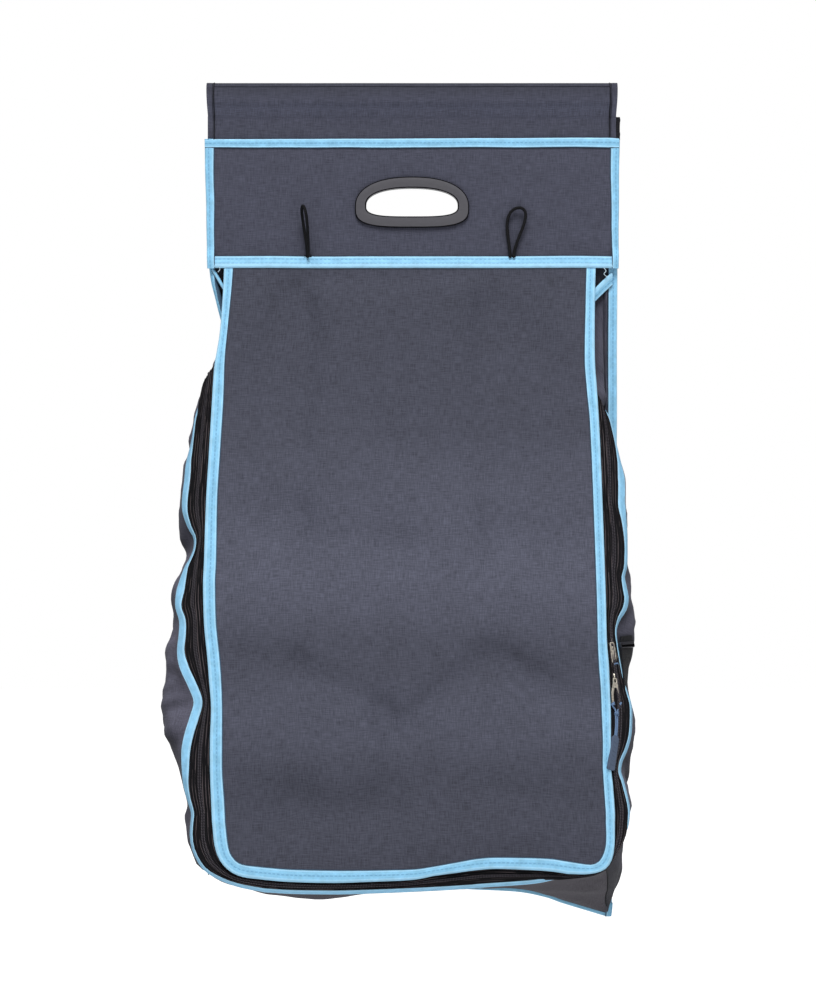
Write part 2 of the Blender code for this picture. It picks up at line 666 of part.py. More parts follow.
def make_zip():
    black = (BLACK, 0.9)
    hinge = (0.0, HINGE_Y, HINGE_Z)
    stations = flap_stations(-1, ZIP_FROM) + flap_stations(1, ZIP_FROM)[::-1]
    flap_tape, flap_coil, gusset_tape, gusset_coil = [], [], [], []
    sewn = Vector((-TAPE_SEWN, TAPE_TURN.y - GAP))
    for station in stations:
        section = Section(station)
        split = section.along * (COIL_SPLIT / 2)
        inner = section.coil - split
        outer = section.coil + split
        tape_end = section.tape_foot + section.along * (LAP - TAPE_SHORT)
        flap_tape.append([station.place(p) for p in offset_loop([sewn, TAPE_TURN, inner], TAPE / 2)])
        gusset_tape.append([station.place(p) for p in offset_loop([outer, tape_end], TAPE / 2)])
        behind = -section.front * (TAPE / 2 + GAP + COIL / 2)
        for start, direction, rows in ((inner, -1, flap_coil), (outer, 1, gusset_coil)):
            ends = [start + behind, start + behind + section.along * (direction * COIL)]
            rows.append([station.place(p) for p in offset_loop(ends, COIL / 2)])
    sweep("zip_tape_flap", flap_tape, black, hinge)
    sweep("zip_coil_flap", flap_coil, black, hinge)
    sweep("zip_tape_gusset", gusset_tape, black)
    sweep("zip_coil_gusset", gusset_coil, black)
    for side, word in ((-1, "left"), (1, "right")):
        make_zip_stop(side, word)


def make_zip_stop(side, word):
    """A small clamp on the gusset's tape, just above the coil's end."""
    rings = []
    section = Section(Station(side, ZIP_FROM))
    for rise in (ZIP_STOP_LENGTH + GAP, GAP):
        station = Station(side, ZIP_FROM - rise)
        high = section.coil + section.along * (COIL_SPLIT / 2) - section.front * (TAPE / 2 + GAP)
        low = high - section.front * COIL
        wide = section.along * ZIP_STOP_WIDTH
        rings.append([station.place(p) for p in (low, high, high + wide, low + wide)])
    sweep("zip_stop_" + word, rings, (NICKEL, 0.35, 1.0))


def back_seam(side, station):
    """Where the gusset meets the back panel, for a station on the flap's edge."""
    top = HINGE_Z - GUSSET_FROM * math.cos(LEAN) + SEAM_TOP_RISE
    inner_x = SEAM_HALF - BACK_CORNER_RADIUS
    inner_z = SEAM_BOTTOM + BACK_CORNER_RADIUS
    angle = station.turned * math.pi / 2
    out = Vector((side * math.cos(angle), 0.0, -math.sin(angle)))
    if station.turned:
        return Vector((side * inner_x, BACK_FLANGE_Y, inner_z)) + out * BACK_CORNER_RADIUS, out
    share = (station.edge.y - GUSSET_FROM) / (STRAIGHT_END - GUSSET_FROM)
    return Vector((side * SEAM_HALF, BACK_FLANGE_Y, mix(top, inner_z, share))), out


def belly_reach(side, station, natural):
    """How far the gusset's widest part stands beyond the straight line."""
    if station.turned:
        return mix(BELLY_KEPT * CORNER_BELLY, BOTTOM_SAG, station.turned)
    target = BELLY_LEFT if side < 0 else BELLY_RIGHT
    share = belly_share(station.edge.y)
    return max(0.0, target - natural) * share


def belly_share(v):
    rise = smooth_step((v - BELLY_FROM) / (BELLY_FULL - BELLY_FROM))
    fall = smooth_step((v - BELLY_FALL) / (STRAIGHT_END - BELLY_FALL))
    return rise * (1 - (1 - BELLY_KEPT) * fall)


class GussetLine:
    """Middle line of a gusset's section: lap on the zip, belly, and edge in the back's binding."""

    def __init__(self, side, station):
        section = Section(station)
        seam, back_out = back_seam(side, station)
        edge = station.place(section.edge)
        bend = station.place(section.lap_end)
        front_out = flap_point(*station.out, 0.0) - flap_point(0.0, 0.0, 0.0)
        outward = front_out + back_out
        outward.y = 0.0
        self.outward = outward.normalized()
        turn_in = seam.copy()
        turn_in.y -= min(SEAM_DEPTH, SEAM_DEPTH_LIMIT * (seam.y - bend.y))
        depth = turn_in.y - bend.y
        self.points = [edge, bend]
        for share in (min(BELLY_FRONT / depth, BELLY_FRONT_LIMIT), BELLY_REAR):
            point = bend.lerp(turn_in, share)
            self.points.append(point + self.outward * belly_reach(side, station, abs(point.x)))
        flange_end = seam + back_out * (BINDING_WIDTH - BINDING_EDGE)
        self.points += [turn_in, seam, flange_end]
        flat = [Vector((p.dot(self.outward), p.y)) for p in self.points]
        self.normals = [self.outward * s.x + Vector((0.0, s.y, 0.0)) for s in side_offsets(flat, 1.0)]

    def ring(self):
        there = [p + n * (CLOTH / 2) for p, n in zip(self.points, self.normals)]
        back = [p - n * (CLOTH / 2) for p, n in zip(self.points, self.normals)]
        return there + back[::-1]


def wrap_ring(edge, inner, edge_normal, inner_normal, slack=0.0):
    """Section of tape folded round a gusset's edge: it reaches from the edge to inner."""
    up = (edge - inner).normalized()
    slot = CLOTH / 2 + GAP + slack
    outer = slot + BINDING
    ring = []
    for side in (1, -1):
        half = [
            edge + up * BINDING_EDGE + edge_normal * (side * outer), inner + inner_normal * (side * outer),
            inner + inner_normal * (side * slot), edge + up * GAP + edge_normal * (side * slot),
        ]
        ring += half if side > 0 else half[::-1]
    return ring


def make_gussets():
    dark = (DARK_CLOTH,)
    bottom = {}
    for side, word in ((-1, "left"), (1, "right")):
        stations = flap_stations(side, GUSSET_FROM)
        last = len(stations) - FLAP_CORNER_STEPS // 2
        rings = [GussetLine(side, s).ring() for s in stations[:last]]
        sweep("gusset_" + word, rings, dark, strip=True)
        split = CORNER_SEAM / FLAP_CORNER_RADIUS / (math.pi / 2)
        first = Station(side, STRAIGHT_END, stations[last - 1].turned + split)
        bottom[side] = [GussetLine(side, s).ring() for s in [first] + stations[last:]]
    sweep("gusset_bottom", bottom[-1] + bottom[1][::-1], dark, strip=True)


def make_gusset_bindings():
    blue = (BLUE, 0.85)
    reach = BINDING_WIDTH - BINDING_EDGE
    rings = []
    for side in (-1, 1):
        lines = [GussetLine(side, s) for s in flap_stations(side, BINDING_FROM)]
        row = []
        for line in lines:
            inner = line.points[0].lerp(line.points[1], reach / LAP)
            row.append(wrap_ring(line.points[0], inner, line.normals[0], line.normals[0]))
        rings += row if side < 0 else row[::-1]
    sweep("gusset_binding", rings, blue)
    for side, word in ((-1, "left"), (1, "right")):
        make_top_binding(side, word, reach, blue)


def make_top_binding(side, word, reach, finish):
    """Tape over the gusset's top edge, from the zip's side to just before the back."""
    top = GussetLine(side, Station(side, GUSSET_FROM))
    below = GussetLine(side, Station(side, BINDING_FROM))
    rings = []
    for i in range(4):
        share = reach / (below.points[i] - top.points[i]).length
        inner = top.points[i].lerp(below.points[i], share)
        inner_normal = top.normals[i].lerp(below.normals[i], share)
        rings.append(wrap_ring(top.points[i], inner, top.normals[i], inner_normal, TOP_BINDING_SLACK))
    sweep("gusset_top_binding_" + word, rings, finish)


# Zip sliders and pulls

class ZipFrame:
    """Axes at a slider: across the zip, out of it, and up along it."""

    def __init__(self, v):
        self.station = Station(1, v)
        self.section = Section(self.station)
        self.across = self.turn(self.section.along)
        self.out = self.turn(self.section.front)
        self.up = -(flap_point(0.0, 1.0, 0.0) - flap_point(0.0, 0.0, 0.0))
        self.middle = self.station.place(self.section.coil)

    def turn(self, direction):
        zero = self.station.place(Vector((0.0, 0.0)))
        return self.station.place(direction) - zero

    def at(self, across, up, out):
        return self.middle + self.across * across + self.up * up + self.out * out


def block(frame, low, high):
    """Corners of a block in a zip frame, as a mesh."""
    bm = box_mesh(low, high)
    for vert in bm.verts:
        vert.co = frame.at(*vert.co)
    return bm


def make_slider(word, v):
    """Two plates joined by a neck in the coil's split, with a bail on the outer plate."""
    frame = ZipFrame(v)
    half_width = SLIDER_WIDTH / 2
    half_length = SLIDER_LENGTH / 2
    inner_out = TAPE / 2 + COIL_CLEARANCE
    inner_in = -(TAPE / 2 + GAP + COIL + COIL_CLEARANCE)
    top = inner_out + SLIDER_PLATE
    low = inner_in - SLIDER_PLATE
    neck = COIL_SPLIT / 2 - COIL_CLEARANCE
    profile = [
        (-half_width, low), (half_width, low), (half_width, inner_in), (neck, inner_in),
        (neck, inner_out), (half_width, inner_out), (half_width, top), (-half_width, top),
        (-half_width, inner_out), (-neck, inner_out), (-neck, inner_in), (-half_width, inner_in),
    ]
    rings = []
    for up in (-half_length, half_length):
        taper = SLIDER_TAPER if up < 0 else 1.0
        rings.append([frame.at(x * (taper if abs(x) > neck else 1.0), up, out) for x, out in profile])
    body = sweep("zip_slider_" + word, rings, (NICKEL, 0.3, 1.0), frame.middle)
    crown = top + BAIL_HEIGHT + BAIL_WIRE
    foot = BAIL_LENGTH / 2
    sunk = top - SLIDER_PLATE / 2
    arch = [
        (-foot - BAIL_WIRE, sunk), (-foot - BAIL_WIRE, crown - BAIL_WIRE / 2), (-foot, crown),
        (foot, crown), (foot + BAIL_WIRE, crown - BAIL_WIRE / 2), (foot + BAIL_WIRE, sunk),
        (foot, sunk), (foot, crown - BAIL_WIRE), (-foot, crown - BAIL_WIRE), (-foot, sunk),
    ]
    bm = bmesh.new()
    wire = BAIL_WIRE * 0.75
    rows = [[bm.verts.new(frame.at(x, up, out)) for up, out in arch] for x in (-wire, wire)]
    for i in range(len(arch)):
        j = (i + 1) % len(arch)
        bm.faces.new((rows[0][i], rows[0][j], rows[1][j], rows[1][i]))
    bm.faces.new(rows[0])
    bm.faces.new(list(reversed(rows[1])))
    bail = cutter("bail_" + word, bm)
    join = body.modifiers.new("bail", "BOOLEAN")
    join.operation = "UNION"
    join.solver = "EXACT"
    join.object = bail
    return frame, top


def puller_pin_out(top):
    """Height of the puller's pin: it lies between the slider's plate and the bail."""
    return top + GAP + PULLER_PIN / 2 + PULLER_PIN_PLAY


def make_puller(word, frame, top, length, open_frame):
    """A plate whose pin lies under the bail, with a window that the bail stands in."""
    pin = puller_pin_out(top)
    half = PULLER_THICKNESS / 2
    neck = PULLER_NECK_WIDTH / 2
    end = PULLER_END_WIDTH / 2
    pin_half = PULLER_PIN / 2
    low = PULLER_CHAMFER - length
    outline = [
        (-neck, pin_half), (neck, pin_half), (neck, -PULLER_NECK_LENGTH), (end, -PULLER_SHOULDER),
        (end, low), (end - PULLER_CHAMFER, -length), (PULLER_CHAMFER - end, -length),
        (-end, low), (-end, -PULLER_SHOULDER), (-neck, -PULLER_NECK_LENGTH),
    ]
    rings = [[frame.at(x, up, pin + out) for x, up in outline] for out in (-half, half)]
    origin = frame.at(0.0, 0.0, pin)
    plate = sweep("zip_puller_" + word, rings, (NICKEL, 0.3, 1.0), origin)
    window_half = PULLER_WINDOW_WIDTH / 2
    window_end = -(BAIL_LENGTH / 2 + BAIL_WIRE + PULLER_WINDOW_PLAY)
    shallow, deep = pin - WINDOW_REACH, pin + WINDOW_REACH
    window = block(frame, (-window_half, window_end, shallow), (window_half, -pin_half, deep))
    cut(plate, cutter("puller_window_" + word, window))
    eye_low = PULLER_BAR - length
    eye_top = -PULLER_SHOULDER if open_frame else eye_low + PULLER_EYE_HEIGHT
    eye_half = end - PULLER_BAR if open_frame else PULLER_EYE_WIDTH / 2
    eye = block(frame, (-eye_half, eye_low, shallow), (eye_half, eye_top, deep))
    cut(plate, cutter("puller_eye_" + word, eye))
    return pin, eye_low - PULLER_BAR / 2


def cord_hairpin(name, frame, pin, bar_up, length):
    """A cord that goes over the puller's lower bar: both ends point down the zip."""
    inner = PULLER_THICKNESS / 2 + GAP
    bend = inner + PULL_CORD / 2
    points = [frame.at(0.0, bar_up - length, pin - bend)]
    points.append(frame.at(0.0, bar_up - length / 2, pin - bend))
    steps = 10
    for i in range(steps + 1):
        angle = math.pi + math.pi * i / steps
        points.append(frame.at(0.0, bar_up - bend * math.sin(angle), pin + bend * math.cos(angle)))
    points.append(frame.at(0.0, bar_up - length / 2, pin + bend))
    points.append(frame.at(0.0, bar_up - length, pin + bend))
    origin = frame.at(0.0, bar_up, pin)
    tube(name, points, PULL_CORD, (PULL_BLUE, 0.8), origin)
    return origin


def make_pulls():
    upper, top = make_slider("upper", SLIDER_UPPER_AT)
    pin, bar_up = make_puller("upper", upper, top, PULLER_UPPER_LENGTH, False)
    cord_hairpin("pull_cord_upper", upper, pin, bar_up, UPPER_CORD_LENGTH)
    lower, top = make_slider("lower", SLIDER_LOWER_AT)
    pin, bar_up = make_puller("lower", lower, top, PULLER_LOWER_LENGTH, True)
    pivot = cord_hairpin("pull_cord_lower", lower, pin, bar_up, PULL_CORD_LENGTH)
    half_width = PULL_TAB_WIDTH / 2
    half = PULL_TAB_THICKNESS / 2
    tab_top = bar_up - PULL_CORD_LENGTH - GAP
    tab_bottom = tab_top - PULL_TAB_LENGTH
    inner_half = half_width - PULL_TAB_CHAMFER
    high = tab_top - PULL_TAB_CHAMFER
    low = tab_bottom + PULL_TAB_CHAMFER
    outline = [
        (-inner_half, tab_top), (inner_half, tab_top), (half_width, high), (half_width, low),
        (inner_half, tab_bottom), (-inner_half, tab_bottom), (-half_width, low), (-half_width, high),
    ]
    rings = [[lower.at(x, up, pin + out) for x, up in outline] for out in (-half, half)]
    sweep("pull_tab", rings, (PULL_BLUE, 0.55), pivot)


# Strap on the right gusset

class StrapFrame:
    """Axes on the right gusset's front slope: back along it, up, and out of it."""

    def __init__(self):
        upper = GussetLine(1, Station(1, STRAP_FROM))
        lower = GussetLine(1, Station(1, STRAP_FROM + STRAP_LENGTH))
        front, rear = upper.points[1], upper.points[2]
        self.up = (front - lower.points[1]).normalized()
        self.back = rear - front
        self.back = (self.back - self.up * self.back.dot(self.up)).normalized()
        self.out = self.back.cross(self.up)
        middle = (front + rear) / 2
        corners = [line.points[i] for line in (upper, lower) for i in (1, 2)]
        lift = max((p - middle).dot(self.out) for p in corners)
        self.middle = middle + self.out * (CLOTH / 2 + max(0.0, lift - GAP))

    def at(self, back, up, out):
        return self.middle + self.back * back + self.up * up + self.out * out


def make_strap():
    frame = StrapFrame()
    half = STRAP_THICKNESS / 2
    low = GAP + half
    high = STRAP_RAISED + half
    end = -STRAP_LENGTH
    flat = STRAP_END
    raised = STRAP_END + STRAP_RAMP
    line = [Vector((0.0, low)), Vector((-flat, low)), Vector((-raised, high)),
            Vector((end + raised, high)), Vector((end + flat, low)), Vector((end, low))]
    loop = offset_loop(line, half)
    rings = [[frame.at(back, p.x, p.y) for p in loop] for back in (-STRAP_WIDTH / 2, STRAP_WIDTH / 2)]
    sweep("strap_webbing", rings, (BLACK, 0.85))

    inside = STRAP_RAISED - BUCKLE_CLEARANCE
    outside = STRAP_RAISED + STRAP_THICKNESS + BUCKLE_CLEARANCE
    slot_half = STRAP_WIDTH / 2 + BUCKLE_CLEARANCE
    frame_half = slot_half + BUCKLE_RAIL
    middle = STRAP_FROM - BUCKLE_AT
    half_length = BUCKLE_LENGTH / 2
    body = block(frame, (-frame_half, middle - half_length, inside - BUCKLE_PLATE),
                 (frame_half, middle + half_length, outside + BUCKLE_PLATE))
    origin = frame.at(0.0, middle, high)
    buckle = add_object("strap_buckle", body, (BLACK, 0.4), origin)
    half_bar = BUCKLE_BAR / 2
    reach = CUTTER_REACH
    slot = block(frame, (-slot_half, middle - reach, inside), (slot_half, middle + reach, outside))
    cut(buckle, cutter("buckle_slot", slot))
    window = block(frame, (-slot_half, middle - half_length + BUCKLE_BAR, outside - half),
                   (slot_half, middle + half_length - BUCKLE_BAR, outside + reach))
    cut(buckle, cutter("buckle_window", window))
    for word, start, stop in (("upper", half_bar, reach), ("lower", -reach, -half_bar)):
        opening = block(frame, (-slot_half, middle + start, inside - reach),
                        (slot_half, middle + stop, inside + half))
        cut(buckle, cutter("buckle_opening_" + word, opening))


# Compartments

def make_pocket(word, from_top, high, deep, count):
    """An open-topped cloth tray on the back panel, with its front edge bound."""
    back = BACK_PANEL_Y - CLOTH / 2 - GAP
    top = HINGE_Z - from_top * FLAP_LENGTH
    height = high * FLAP_LENGTH
    depth = deep * DEPTH_AT_BOTTOM
    half = POCKET_WIDTH / 2
    tray = box("pocket_" + word, (-half, back - depth, top - height), (half, back, top), (GREY_CLOTH,))
    step = (POCKET_WIDTH - CLOTH) / count
    for i in range(count):
        left = -half + CLOTH + i * step
        space = box_mesh((left, back - depth + CLOTH, top - height + CLOTH),
                         (left + step - CLOTH, back - CLOTH, top + CLOTH))
        cut(tray, cutter(f"pocket_{word}_space_{i + 1}", space))
    low_dividers = box_mesh((-half + CLOTH, back - depth + CLOTH, top - BINDING_WIDTH - CLOTH),
                            (half - CLOTH, back - CLOTH, top + CLOTH))
    cut(tray, cutter(f"pocket_{word}_dividers", low_dividers))
    slot = CLOTH / 2 + GAP
    profile = wrap_loop(Vector((0.0, 0.0)), Vector((1.0, 0.0)), slot, slot, BINDING_WIDTH)
    y = back - depth + CLOTH / 2
    ends = [side * (half - CLOTH - GAP) for side in (-1, 1)]
    rings = [[Vector((x, y - p.y, top - p.x)) for p in profile] for x in ends]
    sweep("pocket_binding_" + word, rings, (BLUE, 0.85))


def main():
    clear_scene()
    handle_cutter = make_handle()
    make_sleeve()
    make_header(handle_cutter)
    make_back(handle_cutter)
    make_elastic_loop("elastic_loop_left", LOOP_LEFT_X, LOOP_LEFT_TURN, LOOP_LEFT_LEAN)
    make_elastic_loop("elastic_loop_right", LOOP_RIGHT_X, LOOP_RIGHT_TURN, LOOP_RIGHT_LEAN)
    make_flap()
    make_zip()
    make_gussets()
    make_gusset_bindings()
    make_pulls()
    make_strap()
    for pocket in POCKETS:
        make_pocket(*pocket)
    bpy.context.view_layer.update()


main()
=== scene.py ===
"""Looks of the hanging tent organizer: sewn cloth, bound edges, zip, pulls, handle and light.

Metres, +Z up, +X to the viewer's right, +Y to the back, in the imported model's frame. Places that
were read in the photograph are written as its pixels and turned into metres through the camera.
Outlines and thicknesses of small hard pieces are written in millimetres.
"""
import math

import bmesh
import bpy
import numpy as np
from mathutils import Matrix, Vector, noise


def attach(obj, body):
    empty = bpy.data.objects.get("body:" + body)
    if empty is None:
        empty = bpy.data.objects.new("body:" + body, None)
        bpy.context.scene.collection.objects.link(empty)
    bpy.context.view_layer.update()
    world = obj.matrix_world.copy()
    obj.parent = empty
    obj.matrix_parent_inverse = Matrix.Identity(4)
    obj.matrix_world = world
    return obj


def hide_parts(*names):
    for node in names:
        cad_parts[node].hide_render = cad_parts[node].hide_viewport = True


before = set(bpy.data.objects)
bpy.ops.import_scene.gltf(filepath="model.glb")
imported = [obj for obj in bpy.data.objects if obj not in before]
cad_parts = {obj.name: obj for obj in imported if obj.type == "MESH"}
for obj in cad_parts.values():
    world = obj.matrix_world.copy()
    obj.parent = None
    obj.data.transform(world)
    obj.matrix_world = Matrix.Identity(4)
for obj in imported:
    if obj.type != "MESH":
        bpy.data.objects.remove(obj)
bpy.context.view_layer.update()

MM = 0.001

# Camera: one pixel of the photograph is one millimetre at the pole's depth
PIXEL = 0.001
CAMERA_DISTANCE = 2.6
CAMERA_X = -0.004
CAMERA_Z = -0.4025
CENTRE_PX = 408
CENTRE_PY = 500
SENSOR_HEIGHT = 36.0
FRAME_HEIGHT = 1.0

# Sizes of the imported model
CLOTH = 0.0012
THIN_CLOTH = 0.0011
TAPE = 0.0006
BINDING_WIDTH = 0.0100
HINGE_Y = -0.0056
HINGE_Z = -0.1710
FLAP_LENGTH = 0.6120
LEAN = math.asin(0.1356 / FLAP_LENGTH)
LEAN_TAN = math.tan(LEAN)
LEAN_COS = math.cos(LEAN)
FLAP_NORMAL = np.array((0.0, -LEAN_COS, math.sin(LEAN)))
PANEL_Y = -0.0029             # header panel's middle
BACK_Y = 0.0019               # back panel's middle
SEAM_Y = 0.0004               # where the gussets meet the back
HEADER_HALF = 0.2075
HEADER_TOP = -0.0414
HEADER_BOTTOM = -0.1701
SLEEVE_RADIUS = 0.0137
SLEEVE_HALF = 0.2045
POCKET_HALF = 0.1820
POCKET_BACK = 0.0010
# Compartments: top, height, depth and how many cells
POCKETS = (
    ("top", -0.245052, 0.094860, 0.0180348, 3),
    ("middle", -0.390096, 0.140148, 0.037968, 2),
    ("bottom", -0.584712, 0.189720, 0.0678, 2),
)

# Outlines read in the photograph, in its pixels. Each has five parts: down the left side, round
# the corner, along the bottom, round the other corner, and down the right side. The corners leave
# out their two ends, which are their neighbours'.
FLAP_TOP_ROW = 266.4
GUSSET_TOP_ROW = 287
PICTURE_MIDDLE = (408.0, 560.0)
# Flap: row, and the columns of its edge and of its tape's inner edge, down the left and the right;
# along the bottom the column comes first, then both rows
FLAP_LEFT = (
    (262, 224, 234), (290, 223, 232), (330, 220, 228), (350, 217, 226), (368, 214, 225),
    (400, 212, 224), (450, 209, 221), (500, 206, 218), (560, 204, 217), (584, 203, 216),
    (624, 204, 217), (655, 207, 220), (680, 209, 222), (708, 211, 223), (738, 210, 223),
    (771, 210, 223), (800, 211, 225), (822, 212, 226),
)
FLAP_BOTTOM = (
    (265, 880, 867), (290, 882, 869), (333, 883, 870), (367, 882, 870), (412, 880, 869),
    (434, 876, 866), (456, 873, 862), (479, 870, 858), (501, 869, 857), (546, 871, 858),
    (568, 874, 861),
)
FLAP_RIGHT = (
    (262, 596, 586), (300, 595, 585), (358, 595, 584), (388, 597, 586), (419, 599, 589),
    (460, 601, 591), (540, 604, 594), (600, 606, 596), (640, 607, 597), (665, 609, 598),
    (690, 610, 600), (715, 611, 601), (740, 611, 602), (766, 611, 602), (785, 613, 603),
    (812, 615, 605), (822, 615, 605),
)
EDGE_CORNERS = (
    ((215, 848), (223, 865), (239, 876)),
    ((584, 874.4), (594, 873.4), (600, 871.8), (605.5, 869), (610.5, 863), (613.4, 854.5),
     (614.8, 842)),
)
TAPE_CORNERS = (
    ((229, 847), (233, 857), (242, 864)),
    ((583, 863.6), (591, 864.4), (597.5, 862), (602, 856), (604.8, 847), (605.5, 836)),
)

GUSSET_OUTLINE = (
    ((232, 286), (229, 320), (226, 340), (221, 354), (214.5, 366), (209, 375), (204.5, 385),
     (201.4, 399), (198.6, 409), (195.6, 420), (193.4, 437), (191.4, 449), (188.8, 463), (187.3, 480),
     (185, 500), (185.5, 513), (190, 527), (195, 537), (195, 548), (191, 559), (186.5, 568),
     (180.6, 590), (178.4, 606), (182.4, 620), (182.4, 634), (180.8, 651), (184, 667), (193, 687),
     (198, 702), (194, 718), (189, 734), (185.8, 750), (185.4, 767), (186, 784), (188.6, 797),
     (192.8, 812), (192.6, 820)),
    ((191.6, 835), (194.4, 851), (204.4, 868), (220, 878), (239, 885)),
    ((265, 890), (290, 891.5), (320, 892), (345, 892), (390, 890.5), (434, 888.5), (467, 886.5),
     (481, 885.3), (500, 884), (515, 883), (530, 881.8), (541, 880.4), (552, 878.5)),
    ((575, 876.5), (592, 874), (604, 867.5), (613, 857), (620, 845), (626, 830)),
    ((588, 286), (588, 340), (589, 375), (592, 392), (598, 403), (605, 411), (609.5, 420), (614, 438),
     (617.3, 454), (619.8, 468), (621.4, 480), (621.6, 492), (621.6, 505), (623.2, 516), (624.6, 528),
     (625.6, 542), (625.6, 558), (625, 568), (622.8, 577), (624.5, 588), (626.3, 599), (624.2, 609),
     (619, 618), (616, 626.5), (615.4, 634), (616.8, 645), (620.7, 668), (625.7, 690), (630, 704),
     (630.6, 718), (629.4, 736), (625, 751), (621, 760), (619.2, 771), (622.4, 782), (626.5, 798),
     (628.6, 810), (628, 821)),
)
BELLY_OUTLINE = (
    ((228, 286), (225, 330), (221, 348), (215.5, 362), (210, 373), (206, 384), (202, 399),
     (196.5, 414), (191, 440), (186, 463), (182.6, 484), (180.6, 508), (181.4, 537), (184.6, 560),
     (181, 582), (175, 599), (172.6, 612), (172.4, 632), (168, 649), (165, 675), (163, 712),
     (165, 732), (170.4, 743), (175, 756), (178.6, 768), (183, 789), (186.6, 807), (187.4, 820)),
    ((189, 835), (193, 851), (202.6, 868), (218, 880), (240, 887)),
    ((265, 891), (285, 893.6), (316, 896), (345, 894.4), (375, 891), (434, 886.6), (480, 884),
     (524, 884.6), (552, 883)),
    ((580, 883), (600, 880), (611, 871), (617, 860), (621.5, 846), (625, 834)),
    ((602, 286), (602, 360), (603, 400), (606, 425), (612, 448), (617, 468), (620, 500), (621.6, 512),
     (623.6, 540), (625.6, 560), (628, 576), (630.5, 590), (632.4, 604), (633, 622), (633, 636),
     (631, 642), (626, 648), (624, 660), (624, 676), (625.5, 690), (628.5, 704), (631, 716),
     (632.5, 730), (632.5, 744), (629.5, 756), (625, 768), (625, 778), (626.5, 787), (628, 797),
     (628.4, 808), (627.6, 821)),
)
BACK_OUTLINE = (
    ((206, 190), (207, 240), (208, 258), (209.2, 267), (212, 281), (216, 295), (220, 311), (224, 328),
     (225, 352), (223, 374), (219, 400), (214, 440), (211, 520), (210, 640), (211, 780), (212, 840),
     (214, 850)),
    ((217, 864), (226, 874)),
    ((240, 878), (340, 884), (420, 887), (470, 889.5), (518, 892), (546, 897.5), (560, 902.5),
     (583, 909.5), (598, 914)),
    ((605, 916), (611, 916), (612, 908)),
    ((617, 190), (617.3, 240), (617.5, 266), (617.3, 297), (617, 342), (617, 373), (617, 427),
     (616, 520), (616, 640), (616, 780), (614, 866), (612, 898)),
)
# Half of the gusset's tape that is seen, by row. The zip's cloth hides the tape down to one row,
# at the right corner and at the bottom's right end: each as a start and the pixels that it takes
GUSSET_TAPE_LEFT = (
    (287, 0.3), (400, 0.3), (420, 0.5), (440, 0.8), (455, 1.8), (470, 3.0), (505, 2.9), (525, 2.0),
    (545, 0.8), (562, 0.9), (575, 2.6), (590, 4.2), (607, 3.1), (625, 3.6), (651, 3.9), (665, 4.8),
    (738, 4.9), (752, 4.7), (768, 3.9), (784, 2.7), (798, 1.7), (820, 1.3), (850, 1.0),
)
GUSSET_TAPE_RIGHT = (
    (287, 0.2), (408, 0.2), (422, 0.3), (445, 0.5), (462, 1.5), (478, 3.6), (508, 3.7), (522, 2.3),
    (545, 1.3), (575, 1.5), (590, 2.1), (612, 2.2), (624, 0.8), (640, 0.4), (690, 0.4), (708, 1.0),
    (740, 1.3), (756, 1.5), (780, 1.2), (800, 1.0), (835, 0.5),
)

SEEN_BELOW = (400, 14)
HIDDEN_CORNER = (824, 12)
HIDDEN_BOTTOM = (541, 19)

BACK_TAPE = 9.6               # width of the back's tape, and what is seen of it on the left, by row
BACK_TAPE_SEEN = ((250, 9.6), (262, 6.5), (285, 4.0), (300, 3.0), (345, 3.0), (400, 9.6))
SEAM_INSET_RIGHT = ((800, 10.8), (870, 6.0), (900, 3.5))     # seam inside the back's edge, by row
# Tapes on the gussets' top edges: pixels of the lip, its depths, and from there to the lower line
TOP_TAPE_LEFT = (((213.5, 268.5), (217.5, 275), (223.4, 285), (229, 294)),
                 (-0.0030, -0.0045, -0.0068, -0.0085), (-1.6, 2.6))
TOP_TAPE_RIGHT = (((612, 272), (606, 277.3), (600, 283), (594, 289), (588, 294)),
                  (-0.0030, -0.0042, -0.0056, -0.0070, -0.0082), (0.0, 13.6))
# Strap: row, column of its middle, half of it that is seen, and its depth in millimetres
STRAP_LINE = ((636, 626.4, 6.0, -66.5), (644, 626.2, 6.6, -72.0), (650, 626.0, 5.6, -74.0),
              (660, 625.6, 4.2, -76.5), (674, 625.4, 2.9, -80.0), (690, 625.8, 1.8, -83.5),
              (712, 628.0, 1.2, -87.0))
STRAP_HALF = 0.0100
BUCKLE_SHARE = 0.135          # how far down the strap its buckle sits
CORNER_TAB = ((606.6, 903.0), (606.2, 909.0), (605.2, 916.4))
LOOSE_THREADS = (((604, 268), (606, 271), (604, 274), (607, 277)), ((218, 266), (220, 269), (218, 272)))

